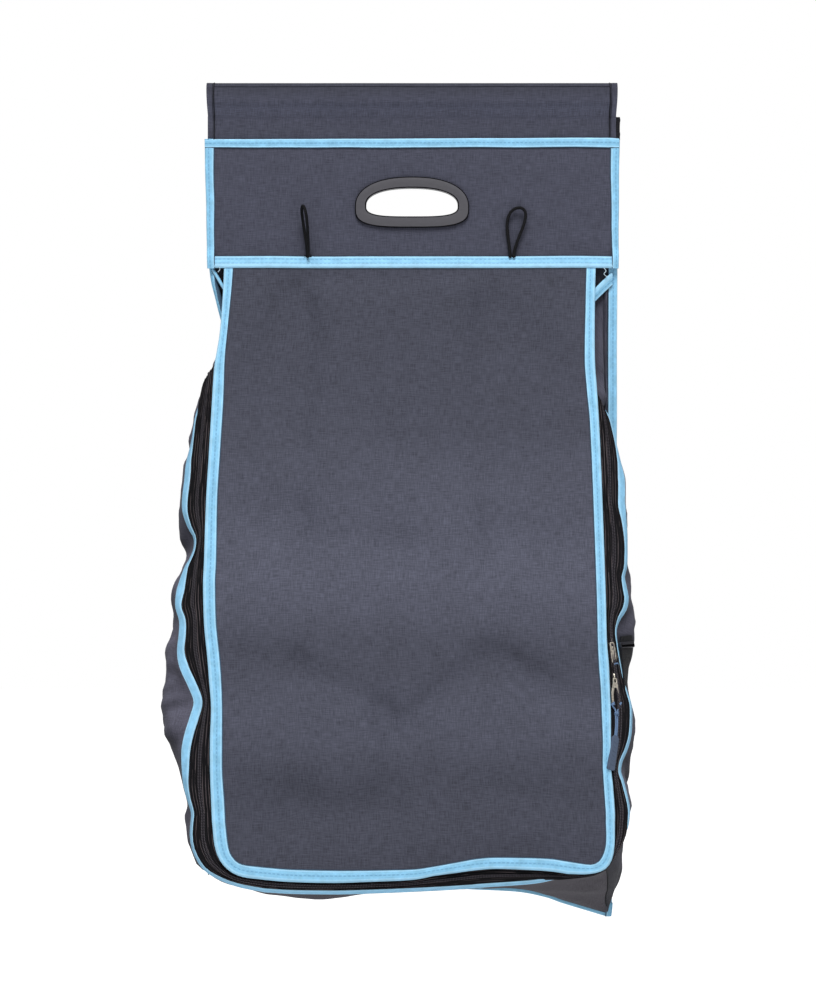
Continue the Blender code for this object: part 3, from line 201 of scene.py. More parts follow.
# Fold slopes on the flap: strength (more is brighter, turned up), spread, and where they run
FLAP_FOLDS = (
    (-0.85, 17, ((296, 292), (262, 335), (236, 372))),
    (1.00, 7, ((318, 288), (375, 294), (470, 279))),
    (-0.80, 15, ((490, 306), (530, 330), (566, 366))),
    (0.90, 8, ((230, 428), (262, 417), (284, 405))),
    (0.80, 22, ((300, 432), (400, 474), (470, 480), (580, 464))),
    (-0.90, 16, ((225, 497), (325, 512), (410, 526))),
    (-0.80, 15, ((498, 520), (550, 522), (590, 512))),
    (0.85, 38, ((230, 560), (350, 590), (410, 585), (520, 565), (590, 590))),
    (-1.75, 15, ((222, 634), (300, 646), (360, 674), (402, 714), (432, 676), (474, 632), (525, 654),
                 (592, 688))),
    (1.10, 18, ((236, 690), (315, 686), (400, 738), (452, 690), (500, 678), (592, 726))),
    (-0.90, 9, ((226, 736), (250, 742), (278, 746))),
    (-1.10, 22, ((222, 780), (290, 786), (352, 792))),
    (-1.10, 11, ((568, 766), (580, 760), (598, 754))),
    (-0.90, 10, ((478, 780), (540, 790), (598, 801))),
    (0.90, 15, ((300, 826), (335, 820), (428, 826))),
    (0.90, 14, ((470, 808), (500, 804), (598, 818))),
    (-1.00, 11, ((415, 852), (460, 846), (505, 843), (592, 842))),
)
FOLD_SLOPE = 0.320            # slope of a fold of strength 1
FOLD_STEP = 3                 # pixels between the places where the folds are summed
FOLD_REACH = (196, 256, 630, 892)
FOLD_DEEPEST = 0.0060

# Elastic loops: side, place, turn about the vertical and how far the end leans
LOOP_CORD = 0.0030
LOOP_HEIGHT = 0.0485
LOOP_WIDTH = 0.0190
LOOP_TAPER = 1.6
LOOP_FULLNESS = 2.1
LOOP_BASE_Y = -0.0066
LOOP_BASE_Z = -0.1598
LOOPS = (("left", -0.10375, math.radians(75), -0.0045), ("right", 0.0996, math.radians(8), 0.0070))

# Carry handle: its hole, its faces, and the sections of its two plates, in millimetres: outside the
# hole, behind the plate's face, and 1 where the plastic takes the near-black rim colour, painted shade
# for the shadow lines round the rims
HANDLE_HOLE = (0.0930, 0.0300)
HANDLE_Z = -0.1052
HANDLE_FRONT = -0.0065
HANDLE_BACK = 0.0054
HANDLE_GAP = 0.0017
FRONT_PLATE = (
    (-0.8, 1.2, 1), (-0.6, 0.4, 1), (0.0, 0.0, 1), (0.4, 0.2, 0), (1.0, 0.1, 0), (4.0, -0.15, 0),
    (6.6, -0.15, 0), (8.8, 0.1, 0), (9.4, 0.2, 1), (9.9, 0.0, 1), (10.3, 0.5, 1), (10.5, 1.3, 1),
    (10.5, 2.6, 0), (1.5, 2.6, 0), (1.5, 11.1, 0), (-0.2, 11.1, 0), (-0.8, 10.5, 0),
)
BACK_PLATE = (
    (1.8, -2.6, 0), (10.5, -2.6, 1), (10.5, -1.1, 1), (10.1, -0.3, 1), (9.4, 0.0, 0), (6.0, 0.1, 0),
    (2.8, 0.0, 0), (2.0, -0.3, 1), (1.8, -0.9, 1),
)

# Zip sliders: middle of the upper one, the zip's axes, and where both are drawn beside their solids
SLIDER_MIDDLE = Vector((0.19468, -0.0833, -0.5393))
SLIDER_ACROSS = Vector((0.81412, 0.56627, -0.12867))
SLIDER_UP = Vector((0.0, 0.22157, 0.97514))
SLIDER_OUT = Vector((0.5807, -0.79388, 0.18038))
SLIDER_APART = 0.0370
UPPER_SHIFT = Vector((-0.0046, 0.0, 0.0))
LOWER_SHIFT = Vector((-0.0022, 0.0, 0.0018))
PULLER_LIFT = 0.0045          # puller's pin over the zip tape
PULLER_DROP = 0.0026          # and below the slider's middle
TAB_DROP = 56.0               # tab's top below the lower puller's pin, in millimetres
TAB_LEAN = 0.205

# Colours as the cloth shows them
CANVAS_COLOUR = (0.070, 0.073, 0.100)
# painted shade: the canvas colour darkened for the header and the sleeve
HEADER_COLOUR = (0.053, 0.055, 0.078)
SHADE_COLOUR = (0.0567, 0.05565, 0.0756)
# painted shade: darker than the side gussets' colour, for the gusset's underside
UNDERSIDE_COLOUR = (0.052, 0.048, 0.058)
BLUE_COLOUR = (0.255, 0.548, 0.780)
SEAM_BLUE = (0.268, 0.560, 0.800)
THREAD_BLUE = (0.110, 0.300, 0.520)
PALE_EDGE_BLUE = (0.520, 0.780, 0.930)
EDGE_SHADOW_COLOUR = (0.012, 0.026, 0.060)
BLACK_COLOUR = (0.010, 0.010, 0.013)
TAPE_COLOUR = (0.0055, 0.0052, 0.0065)
RIDGE_HIGHLIGHT_COLOUR = (0.090, 0.074, 0.078)
COIL_BLACK_AND_HIGHLIGHT = ((0.006, 0.006, 0.007), (0.110, 0.095, 0.115))
PLASTIC_COLOUR = (0.069, 0.067, 0.076)
BOARD_COLOUR = (0.33, 0.33, 0.34)
METAL_COLOUR = (0.840, 0.730, 0.620)
METAL_PAINTED_SHADE = (0.060, 0.040, 0.035)
CORD_BLUE = (0.170, 0.270, 0.450)
TAB_BLUE = (0.066, 0.090, 0.140)
ELASTIC_COLOUR = (0.0050, 0.0050, 0.0060)
PALE_COLOURS = ((0.45, 0.62, 0.74), (0.72, 0.86, 0.93))

# How bright the cloth is painted along it, painted light and shade in place of how the light falls:
# distance from the flap's top or up the sleeve, and a share
FLAP_PAINTED_SHADE = ((-0.611, 0.66), (-0.568, 0.70), (-0.537, 0.69), (-0.506, 0.71), (-0.476, 0.85),
             (-0.445, 0.88), (-0.414, 0.75), (-0.383, 0.76), (-0.353, 0.92), (-0.32, 1.01), (-0.26, 0.94),
             (-0.20, 0.82), (-0.168, 0.73), (-0.137, 0.73), (-0.076, 0.69), (0.0, 0.66))
# Painted light and shade up the sleeve, which even out the shading round its bend
SLEEVE_PAINTED_LIGHT_AND_SHADE = ((-0.080, 0.66), (-0.063, 0.65), (-0.058, 0.88), (-0.053, 1.25), (-0.044, 1.68),
               (-0.037, 1.54), (-0.033, 1.39), (-0.027, 1.05), (-0.020, 0.95), (0.0, 0.95))

# Light and floor
AMBIENT = 0.34
FLOOR_Z = -1.25
FLOOR_REACH = 9.0
FLOOR_GLOW = ((0.7, 0.12), (2.6, 0.80))      # distance from the middle, and light to the camera
LIGHT_TARGET = (0.0, 0.0, -0.45)


# Lines and places

def smooth_line(points, steps=10):
    """The points with a smooth curve led through them."""
    p = np.array(points, float)
    ends = np.vstack((2 * p[0] - p[1], p, 2 * p[-1] - p[-2]))
    shares = np.linspace(0, 1, steps, endpoint=False)[:, None]
    parts = []
    for a, b, c, d in zip(ends, ends[1:], ends[2:], ends[3:]):
        parts.append(0.5 * (2 * b + (c - a) * shares + (2 * a - 5 * b + 4 * c - d) * shares ** 2
                            + (3 * b - a - 3 * c + d) * shares ** 3))
    return np.vstack(parts + [p[-1:]])


def lengths(points):
    return np.concatenate(([0.0], np.cumsum(np.linalg.norm(np.diff(points, axis=0), axis=1))))


def resampled(line, along, spots):
    return np.stack([np.interp(spots, along, line[:, i]) for i in range(line.shape[1])], 1)


def by_length(points, count):
    """count points equally far apart along a line."""
    line = np.array(points, float)
    along = lengths(line)
    return resampled(line, along, np.linspace(0, along[-1], count))


def by_axis(points, axis, count, start=None):
    """count points of a line at equal steps of one of its coordinates."""
    line = smooth_line(points)
    line = line[np.argsort(line[:, axis], kind="stable")]
    first = line[0, axis] if start is None else start
    return resampled(line, line[:, axis], np.linspace(first, line[-1, axis], count))


def unit(vectors):
    return vectors / np.maximum(np.linalg.norm(vectors, axis=-1, keepdims=True), 1e-12)


def facing(vectors, toward):
    """The vectors, each turned round where it points away from a direction."""
    away = (vectors * np.asarray(toward, float)).sum(-1, keepdims=True) < 0
    return np.where(away, -vectors, vectors)


def places(x, y, z):
    """Points from their three coordinates, any of which may be one number."""
    return np.stack(np.broadcast_arrays(x, y, z), -1).astype(float)


def wobble(points, size, seed):
    """A soft random value from -1 to 1 at each point, the same in each run."""
    flat = np.asarray(points, float).reshape(-1, 3) / size + seed * 7.31
    return np.array([noise.noise(Vector(p)) for p in flat]).reshape(np.asarray(points).shape[:-1])


def fade_in(value, start, reach):
    """0 up to a start and 1 from a reach further on."""
    return np.clip((value - start) / reach, 0, 1)


def on_plane(pixels, y):
    """World places of pixels on upright planes at the given depths."""
    pixels = np.asarray(pixels, float)
    scale = PIXEL * (CAMERA_DISTANCE + np.asarray(y, float)) / CAMERA_DISTANCE
    return places(CAMERA_X + (pixels[..., 0] - CENTRE_PX) * scale, y,
                  CAMERA_Z + (CENTRE_PY - pixels[..., 1]) * scale)


def on_flap(pixels, out=0.0):
    """World places of pixels on the flap's plane, or this far in front of it."""
    pixels = np.asarray(pixels, float)
    slope = (CENTRE_PY - pixels[..., 1]) * PIXEL / CAMERA_DISTANCE
    rise = CAMERA_Z + CAMERA_DISTANCE * slope - HINGE_Z
    y = (HINGE_Y + LEAN_TAN * rise - np.asarray(out) / LEAN_COS) / (1 - LEAN_TAN * slope)
    return on_plane(pixels, y)


# Stations: places down each side, round each corner and along the bottom, on every outline alike
SIDE_COUNT = 132
CORNER_COUNT = 17
BOTTOM_COUNT = 66
LEFT_END = SIDE_COUNT - 1
MID_LEFT = LEFT_END + (CORNER_COUNT - 1) // 2
BOTTOM_START = LEFT_END + CORNER_COUNT - 1
BOTTOM_END = BOTTOM_START + BOTTOM_COUNT - 1
STATIONS = BOTTOM_END + BOTTOM_START + 1
MID_RIGHT = STATIONS - 1 - MID_LEFT


def trace(left, corner_left, bottom, corner_right, right, top=None):
    """One line down the left, along the bottom and up the right, at matching places: the stations."""
    round_left = smooth_line((left[-1], *corner_left, bottom[0]))
    round_right = smooth_line((bottom[-1], *corner_right, right[-1]))
    return np.vstack((by_axis(left, 1, SIDE_COUNT, top)[:-1], by_length(round_left, CORNER_COUNT)[:-1],
                      by_axis(bottom, 0, BOTTOM_COUNT)[:-1], by_length(round_right, CORNER_COUNT)[:-1],
                      by_axis(right, 1, SIDE_COUNT, top)[::-1]))


def trace_flap(which, corners):
    """The flap's edge (1) or its tape's inner line (2), from the tables that hold both."""
    left, right = ([(entry[which], entry[0]) for entry in side] for side in (FLAP_LEFT, FLAP_RIGHT))
    bottom = [(entry[0], entry[which]) for entry in FLAP_BOTTOM]
    return trace(left, corners[0], bottom, corners[1], right, FLAP_TOP_ROW)


FLAP_EDGE = trace_flap(1, EDGE_CORNERS)
FLAP_TAPE = trace_flap(2, TAPE_CORNERS)
GUSSET_EDGE = trace(*GUSSET_OUTLINE, GUSSET_TOP_ROW)
BELLY = trace(*BELLY_OUTLINE, GUSSET_TOP_ROW)
BACK_EDGE = trace(*BACK_OUTLINE)


def outward_of(line, calmed=6):
    """Unit vectors in the picture that point away from the organizer's middle."""
    run = np.gradient(line, axis=0)
    for _ in range(calmed):
        run[1:-1] = (run[:-2] + 2 * run[1:-1] + run[2:]) / 4
    across = unit(np.stack((-run[:, 1], run[:, 0]), 1))
    return -across if ((line - PICTURE_MIDDLE) * across).sum() < 0 else across


BACK_INWARD = -outward_of(BACK_EDGE, 0)


def coons(top, bottom, left, right):
    """Places between four border lines: a row for each place of the sides."""
    v = np.linspace(0, 1, len(left))[:, None, None]
    u = np.linspace(0, 1, len(top))[None, :, None]
    between = (1 - v) * top[None] + v * bottom[None] + (1 - u) * left[:, None] + u * right[:, None]
    corners = (1 - v) * ((1 - u) * top[0] + u * top[-1]) + v * ((1 - u) * bottom[0] + u * bottom[-1])
    return between - corners


def distance_to_line(x, y, points):
    """Distance of each place to a line through the points."""
    nearest = np.full(x.shape, 1e9)
    for (ax, ay), (bx, by) in zip(points, points[1:]):
        dx, dy = bx - ax, by - ay
        share = np.clip(((x - ax) * dx + (y - ay) * dy) / (dx * dx + dy * dy), 0, 1)
        nearest = np.minimum(nearest, np.hypot(x - ax - share * dx, y - ay - share * dy))
    return nearest


def sum_folds():
    """Heights of the flap's folds, from the slopes of all of them summed down the flap."""
    low_x, low_y, high_x, high_y = FOLD_REACH
    xs = np.arange(low_x, high_x + 1, FOLD_STEP, float)
    ys = np.arange(low_y, high_y + 1, FOLD_STEP, float)
    gx, gy = np.meshgrid(xs, ys)
    slope = np.zeros(gx.shape)
    for strength, spread, points in FLAP_FOLDS:
        slope += strength * np.exp(-(distance_to_line(gx, gy, points) / spread) ** 2 / 2)
    height = np.cumsum(slope * FOLD_SLOPE * PIXEL * FOLD_STEP, axis=0)
    share = np.linspace(0, 1, len(ys))[:, None]
    height = height - height[:1] * (1 - share) - height[-1:] * share
    for _ in range(3):
        inner = (height[:, :-2] + 2 * height[:, 1:-1] + height[:, 2:]) / 4
        height = np.hstack((height[:, :1], inner, height[:, -1:]))
    kept = np.clip(np.minimum(gx - low_x - 8, high_x - 20 - gx) / 90, 0.25, 1)
    return xs, ys, FOLD_DEEPEST * np.tanh(height * kept / FOLD_DEEPEST)


FOLD_X, FOLD_Y, FOLD_HEIGHT = sum_folds()


def flap_surface(pixels, out=0.0):
    """World places of pixels on the flap with its folds."""
    pixels = np.asarray(pixels, float)
    column = np.clip((pixels[..., 0] - FOLD_X[0]) / FOLD_STEP, 0, len(FOLD_X) - 1.001)
    row = np.clip((pixels[..., 1] - FOLD_Y[0]) / FOLD_STEP, 0, len(FOLD_Y) - 1.001)
    c, r = column.astype(int), row.astype(int)
    upper, lower = (FOLD_HEIGHT[k, c] * (1 - column + c) + FOLD_HEIGHT[k, c + 1] * (column - c)
                    for k in (r, r + 1))
    return on_flap(pixels, upper * (1 - row + r) + lower * (row - r) + out)


# Meshes

def link(name, data):
    """A new object of this data in the scene."""
    made = bpy.data.objects.new(name, data)
    bpy.context.scene.collection.objects.link(made)
    return made


def from_bmesh(name, bm):
    mesh = bpy.data.meshes.new(name)
    bm.to_mesh(mesh)
    bm.free()
    return link(name, mesh)


def outward(made):
    bm = bmesh.new()
    bm.from_mesh(made.data)
    bmesh.ops.recalc_face_normals(bm, faces=bm.faces)
    bm.to_mesh(made.data)
    bm.free()
    return made


def new_mesh(name, verts, faces, uvs):
    """An object from points and faces, with a UV pair for each corner of each face."""
    mesh = bpy.data.meshes.new(name)
    mesh.from_pydata([tuple(v) for v in verts], [], faces)
    mesh.uv_layers.new(name="cloth").data.foreach_set("uv", np.asarray(uvs, np.float32).ravel())
    mesh.validate()
    mesh.shade_smooth()
    return outward(link(name, mesh))


def sharpen(made, degrees):
    made.data.set_sharp_from_angle(angle=math.radians(degrees))
    return made


def surface_normals(grid):
    return unit(np.cross(np.gradient(grid, axis=1), np.gradient(grid, axis=0)))


def cloth_sheet(name, grid, thickness=CLOTH, toward=(0.0, -1.0, 0.0), sharp=50):
    """Cloth of real thickness whose middle is a grid of points, with its UVs in metres."""
    rows, columns = grid.shape[:2]
    normals = surface_normals(grid)
    if (normals.reshape(-1, 3) @ np.array(toward)).sum() < 0:
        normals = -normals
    verts = np.concatenate(((grid + normals * thickness / 2).reshape(-1, 3),
                            (grid - normals * thickness / 2).reshape(-1, 3)))
    along, down = np.zeros((rows, columns)), np.zeros((rows, columns))
    along[:, 1:] = np.cumsum(np.linalg.norm(np.diff(grid, axis=1), axis=2), axis=1)
    along -= along[:, columns // 2:columns // 2 + 1]
    down[1:] = np.cumsum(np.linalg.norm(np.diff(grid, axis=0), axis=2), axis=0)
    flat = np.tile(np.stack((along.ravel(), -down.ravel()), 1), (2, 1))
    index = np.arange(rows * columns).reshape(rows, columns)
    a, b = index[:-1, :-1].ravel(), index[:-1, 1:].ravel()
    c, d = index[1:, 1:].ravel(), index[1:, :-1].ravel()
    other = rows * columns
    rim = np.concatenate((index[0], index[1:, -1], index[-1, -2::-1], index[-2:0:-1, 0]))
    following = np.roll(rim, -1)
    faces = np.concatenate((np.stack((a, b, c, d), 1), np.stack((a, d, c, b), 1) + other,
                            np.stack((rim, rim + other, following + other, following), 1)))
    return sharpen(new_mesh(name, verts, faces.tolist(), flat[faces.ravel()]), sharp)


def loft(name, rings, across, along=None):
    """A solid through closed rings; across is each ring point's UV place, plus the closing one."""
    rings = np.asarray(rings, float)
    count, size = rings.shape[:2]
    if along is None:
        along = lengths(rings.mean(axis=1))
    faces, uvs = [], []
    for i in range(count - 1):
        near, far = i * size, (i + 1) * size
        for k in range(size):
            m = (k + 1) % size
            faces.append((near + k, near + m, far + m, far + k))
            uvs += [(along[i], across[k]), (along[i], across[k + 1]),
                    (along[i + 1], across[k + 1]), (along[i + 1], across[k])]
    for i, order in ((0, range(size - 1, -1, -1)), (count - 1, range(size))):
        faces.append([i * size + k for k in order])
        uvs += [(along[i], across[k]) for k in order]
    return new_mesh(name, rings.reshape(-1, 3), faces, uvs)


# Places across a folded tape, as shares of its width from its inner edge, and their height
TAPE_FORM = ((0.00, 0.42), (0.05, 0.78), (0.14, 0.86), (0.23, 0.62), (0.32, 0.88), (0.55, 1.00),
             (0.80, 0.94), (0.93, 0.70), (1.00, 0.0))
PLAIN_FORM = ((0.00, -0.70), (0.05, 0.00), (0.12, 0.28), (0.30, 0.36), (0.70, 0.36), (0.90, 0.22),
              (1.00, 0.0))


def ribbon(name, inner, outer, toward=(0, -1, 0), half=0.0007, puff=0.0009, spread=1.0, form=TAPE_FORM):
    """Tape folded over a cloth's edge, from a line inside it to the line that it is folded at."""
    run = np.gradient((inner + outer) / 2, axis=0)
    normal = facing(unit(np.cross(run, outer - inner)), toward)
    width = np.linalg.norm(outer - inner, axis=1).mean()
    taper = np.broadcast_to(spread, len(inner))
    ring, across = [], []
    for side, half_form in ((1, form), (-1, form[-2::-1])):
        for share, height in half_form:
            lift = side * (half + puff * height) if share < 1 else 0.0
            ring.append(inner + (outer - inner) * share + normal * (lift * taper)[:, None])
            across.append(share * width)
    across.append(across[0])
    return sharpen(loft(name, np.stack(ring, 1), across, lengths((inner + outer) / 2)), 62)


def tube(name, points, radius, sides=12):
    """A round cord along points, with rounded ends."""
    points = np.asarray(points, float)
    tangents = unit(np.gradient(points, axis=0))
    a = [unit(np.cross(tangents[0], (0.31, 0.17, 0.94)))]
    for t in tangents[1:]:
        a.append(unit(a[-1] - t * np.dot(a[-1], t)))
    a = np.array(a)
    b = np.cross(tangents, a)
    angles = np.linspace(0, 2 * math.pi, sides, endpoint=False)
    rings = points[:, None] + radius * (
        a[:, None] * np.cos(angles)[None, :, None] + b[:, None] * np.sin(angles)[None, :, None])
    start, end = unit(points[0] - points[1]), unit(points[-1] - points[-2])
    caps = ((0.8, 0.45), (0.45, 0.85))
    lead = [points[0] + start * radius * f + (rings[0] - points[0]) * g for f, g in caps]
    tail = [points[-1] + end * radius * f + (rings[-1] - points[-1]) * g for f, g in caps[::-1]]
    rings = np.concatenate((np.array(lead), rings, np.array(tail)))
    return sharpen(loft(name, rings, np.linspace(0, 1, sides + 1)), 75)


def prism(outline, low, high, name="tool"):
    """A plate between two heights, from a 2D outline."""
    bm = bmesh.new()
    lower, upper = ([bm.verts.new((p[0], p[1], h)) for p in outline] for h in (low, high))
    for i in range(len(outline)):
        j = (i + 1) % len(outline)
        bm.faces.new((lower[i], lower[j], upper[j], upper[i]))
    bm.faces.new(lower)
    bm.faces.new(upper[::-1])
    bmesh.ops.recalc_face_normals(bm, faces=bm.faces)
    return from_bmesh(name, bm)


def cut_out(made, tools):
    for tool in tools:
        cut = made.modifiers.new("cut", "BOOLEAN")
        cut.operation, cut.solver, cut.object = "DIFFERENCE", "EXACT", tool


def applied(made, tools, sharp):
    """The piece with its modifiers applied to its mesh, and without the tools that they used."""
    depsgraph = bpy.context.evaluated_depsgraph_get()
    mesh = bpy.data.meshes.new_from_object(made.evaluated_get(depsgraph))
    made.modifiers.clear()
    made.data = mesh
    for tool in tools:
        bpy.data.objects.remove(tool, do_unlink=True)
    made.data.shade_smooth()
    return sharpen(made, sharp)


def plate(name, outline, low, high, bevel, holes=(), segments=2):
    """A plate with holes and rounded edges, lying flat, from outlines in metres; the rest is in mm."""
    made = prism(outline, low * MM, high * MM, name)
    tools = [prism(hole, (low - 2) * MM, (high + 2) * MM) for hole in holes]
    cut_out(made, tools)
    edge = made.modifiers.new("edge", "BEVEL")
    edge.width, edge.segments = bevel * MM, segments
    edge.limit_method, edge.angle_limit = "ANGLE", math.radians(40)
    return applied(made, tools, 34)


def rounded(points, radius, steps=4):
    """A 2D outline in metres with rounded corners, from its corners and their radius in mm."""
    corners = np.array(points, float) * MM
    result = []
    for a, b, c in zip(np.roll(corners, 1, 0), corners, np.roll(corners, -1, 0)):
        size = min(radius * MM, np.linalg.norm(a - b) / 2.05, np.linalg.norm(c - b) / 2.05)
        start, end = b + unit(a - b) * size, b + unit(c - b) * size
        for k in range(steps + 1):
            t = k / steps
            result.append((1 - t) ** 2 * start + 2 * t * (1 - t) * b + t * t * end)
    return result


def both_sides(radius, *right, steps=4):
    """A rounded outline that is the same on both sides, from its right half in mm, bottom first."""
    left = [(-x, y) for x, y in right]
    return rounded([left[0], *right, *left[:0:-1]], radius, steps)


def circle(x, y, radius, steps=20, stretch=1.0):
    """A round outline in metres, from millimetres."""
    turns = [2 * math.pi * i / steps for i in range(steps)]
    return [((x + radius * math.cos(t)) * MM, (y + radius * stretch * math.sin(t)) * MM) for t in turns]


def into_place(made, origin, x_axis, y_axis, z_axis):
    """Move a flat-made piece into the world by its three axes, and give it UVs in metres."""
    add_flat_uvs(made, 0, 1)
    for vert in made.data.vertices:
        vert.co = origin + x_axis * vert.co.x + y_axis * vert.co.y + z_axis * vert.co.z
    return outward(made)


def add_flat_uvs(made, first, second):
    """UVs in metres straight from two of the mesh's own coordinates."""
    mesh = made.data
    layer = mesh.uv_layers.get("cloth") or mesh.uv_layers.new(name="cloth")
    for loop in mesh.loops:
        co = mesh.vertices[loop.vertex_index].co
        layer.data[loop.index].uv = (co[first], co[second])


def joined(name, pieces):
    """Several meshes as one object."""
    bm = bmesh.new()
    for piece in pieces:
        bm.from_mesh(piece.data)
        bpy.data.objects.remove(piece, do_unlink=True)
    return from_bmesh(name, bm)


# Materials

class Nodes:
    """The node tree of a material or a world, with short ways to add to it."""

    def __init__(self, owner):
        owner.use_nodes = True
        self.tree = owner.node_tree
        self.shader = self.tree.nodes.get("Principled BSDF")

    def node(self, kind, inputs=None, **settings):
        made = self.tree.nodes.new(kind)
        for name, value in settings.items():
            setattr(made, name, value)
        for name, value in (inputs or {}).items():
            self.feed(made.inputs[name], value)
        return made

    def feed(self, socket, value):
        if isinstance(value, bpy.types.NodeSocket):
            self.tree.links.new(value, socket)
        else:
            socket.default_value = value

    def set(self, name, value):
        self.feed(self.shader.inputs[name], value)

    def math(self, operation, a, b=0.0, c=0.0):
        return self.node("ShaderNodeMath", {0: a, 1: b, 2: c}, operation=operation).outputs[0]

    def times(self, a, b):
        return self.math("MULTIPLY", a, b)

    def total(self, start, *parts):
        """A start value plus each part times its share."""
        for value, share in parts:
            start = self.math("MULTIPLY_ADD", value, share, start)
        return start

    def seen_share(self, other_rays):
        """1 for what the camera and some other rays see, 0 for the light that falls on things."""
        path = self.node("ShaderNodeLightPath").outputs
        return self.math("MAXIMUM", path["Is Camera Ray"], path[other_rays])


class Finish(Nodes):
    """A material whose colour, roughness and bump come from nodes."""

    def __init__(self, name, roughness=0.8, metallic=0.0, specular=0.25):
        self.material = bpy.data.materials.new(name)
        super().__init__(self.material)
        self.set("Roughness", roughness)
        self.set("Metallic", metallic)
        self.set("Specular IOR Level", specular)
        self.coords = self.node("ShaderNodeUVMap", uv_map="cloth").outputs["UV"]

    def grain(self, x, y, detail=2.0, roughness=0.55):
        """Noise from 0 to 1, with this many grains to a metre in both directions."""
        scaled = self.node("ShaderNodeMapping", {"Vector": self.coords, "Scale": (x, y, 1.0)}).outputs[0]
        return self.node("ShaderNodeTexNoise", {"Vector": scaled, "Scale": 1.0, "Detail": detail,
                                                "Roughness": roughness}, noise_dimensions="2D").outputs["Fac"]

    def split(self):
        made = self.node("ShaderNodeSeparateXYZ", {0: self.coords})
        return made.outputs["X"], made.outputs["Y"]

    def upward(self):
        """How far the surface faces up, from -1 to 1."""
        normal = self.node("ShaderNodeNewGeometry").outputs["Normal"]
        return self.node("ShaderNodeSeparateXYZ", {0: normal}).outputs["Z"]

    def wave(self, value, pitch):
        """A sine of a distance, from -1 to 1."""
        return self.math("SINE", self.times(value, 2 * math.pi / pitch))

    def over(self, value, limit):
        return self.math("GREATER_THAN", value, limit)

    def near(self, value, place, reach):
        """1 within reach of a place, 0 elsewhere."""
        return self.math("LESS_THAN", self.math("ABSOLUTE", self.math("SUBTRACT", value, place)), reach)

    def blend(self, share, a, b):
        made = self.node("ShaderNodeMix", data_type="RGBA", clamp_factor=True)
        for name, value in (("Factor", share), ("A", a), ("B", b)):
            self.feed(made.inputs[name], (*value, 1.0) if isinstance(value, tuple) else value)
        return made.outputs["Result"]

    def ramp(self, value, stops):
        """A level that follows (place, level) stops along a value."""
        first, reach = stops[0][0], stops[-1][0] - stops[0][0]
        share = self.math("DIVIDE", self.math("SUBTRACT", value, first), reach)
        made = self.node("ShaderNodeValToRGB", {"Fac": share})
        elements = made.color_ramp.elements
        elements[0].color = (*[stops[0][1]] * 3, 1.0)
        elements[-1].color = (*[stops[-1][1]] * 3, 1.0)
        for spot, level in stops[1:-1]:
            elements.new((spot - first) / reach).color = (*[level] * 3, 1.0)
        return made.outputs["Color"]

    def dimmed(self, colour, level):
        return self.node("ShaderNodeVectorMath", {0: colour, "Scale": level}, operation="SCALE").outputs[0]

    def open_share(self, distance):
        """1 in the open, less where other surfaces are near."""
        return self.node("ShaderNodeAmbientOcclusion", {"Distance": distance}, samples=4).outputs["AO"]

    def bump(self, height, distance, strength):
        made = self.node("ShaderNodeBump", {"Height": height, "Distance": distance, "Strength": strength})
        self.set("Normal", made.outputs["Normal"])

    def sheen(self, weight, roughness):
        self.set("Sheen Weight", weight)
        self.set("Sheen Roughness", roughness)


def shade(colour, factor):
    return tuple(min(1.0, c * factor) for c in colour)


def between(f, share, colour, low, high):
    """The colour at two brightnesses, mixed by a share."""
    return f.blend(share, shade(colour, low), shade(colour, high))


def canvas(name, colour, contrast=0.9, fade=None, reach=0.030, painted_shade_darkest=0.45, mottle=0.26, painted_top_light=0.0):
    """Coated polyester canvas: a plain weave with uneven yarns and a slow random change of tone, with a
    painted ramp of light and shade along it, painted light on faces that turn up and painted shade where
    other surfaces are near.
    """
    f = Finish(name, specular=0.12)
    u, v = f.split()
    yarn = f.math("ADD", f.grain(1150, 90), f.grain(90, 1150))
    patches = f.grain(34, 34, 4.0)
    weave = f.times(f.wave(u, 0.0011), f.wave(v, 0.0011))
    level = -0.61 - (mottle - 0.26) * 0.5
    tone = f.total(level, (yarn, 0.90), (patches, mottle), (weave, 0.10), (f.grain(900, 900, 1.0), 0.12))
    base = between(f, tone, colour, 1 - 0.42 * contrast, 1 + 0.66 * contrast)
    # painted light and shade: the fade ramp brightens or darkens the cloth along its length in place of the
    # light
    if fade:
        base = f.dimmed(base, f.ramp(v, fade))
    # painted light: faces that turn up are lighter and faces that turn down darker
    if painted_top_light:
        base = f.dimmed(base, f.math("MAXIMUM", f.total(1.0, (f.upward(), painted_top_light)), 0.35))
    # painted shade: darker where other surfaces are near, down to the darkest share
    f.set("Base Color", f.dimmed(base, f.total(painted_shade_darkest, (f.open_share(reach), 1 - painted_shade_darkest))))
    f.set("Roughness", f.total(0.66, (patches, 0.22)))
    f.bump(f.total(f.times(yarn, 0.8), (weave, 0.30)), 0.00022, 0.75)
    f.sheen(0.05, 0.45)
    return f.material


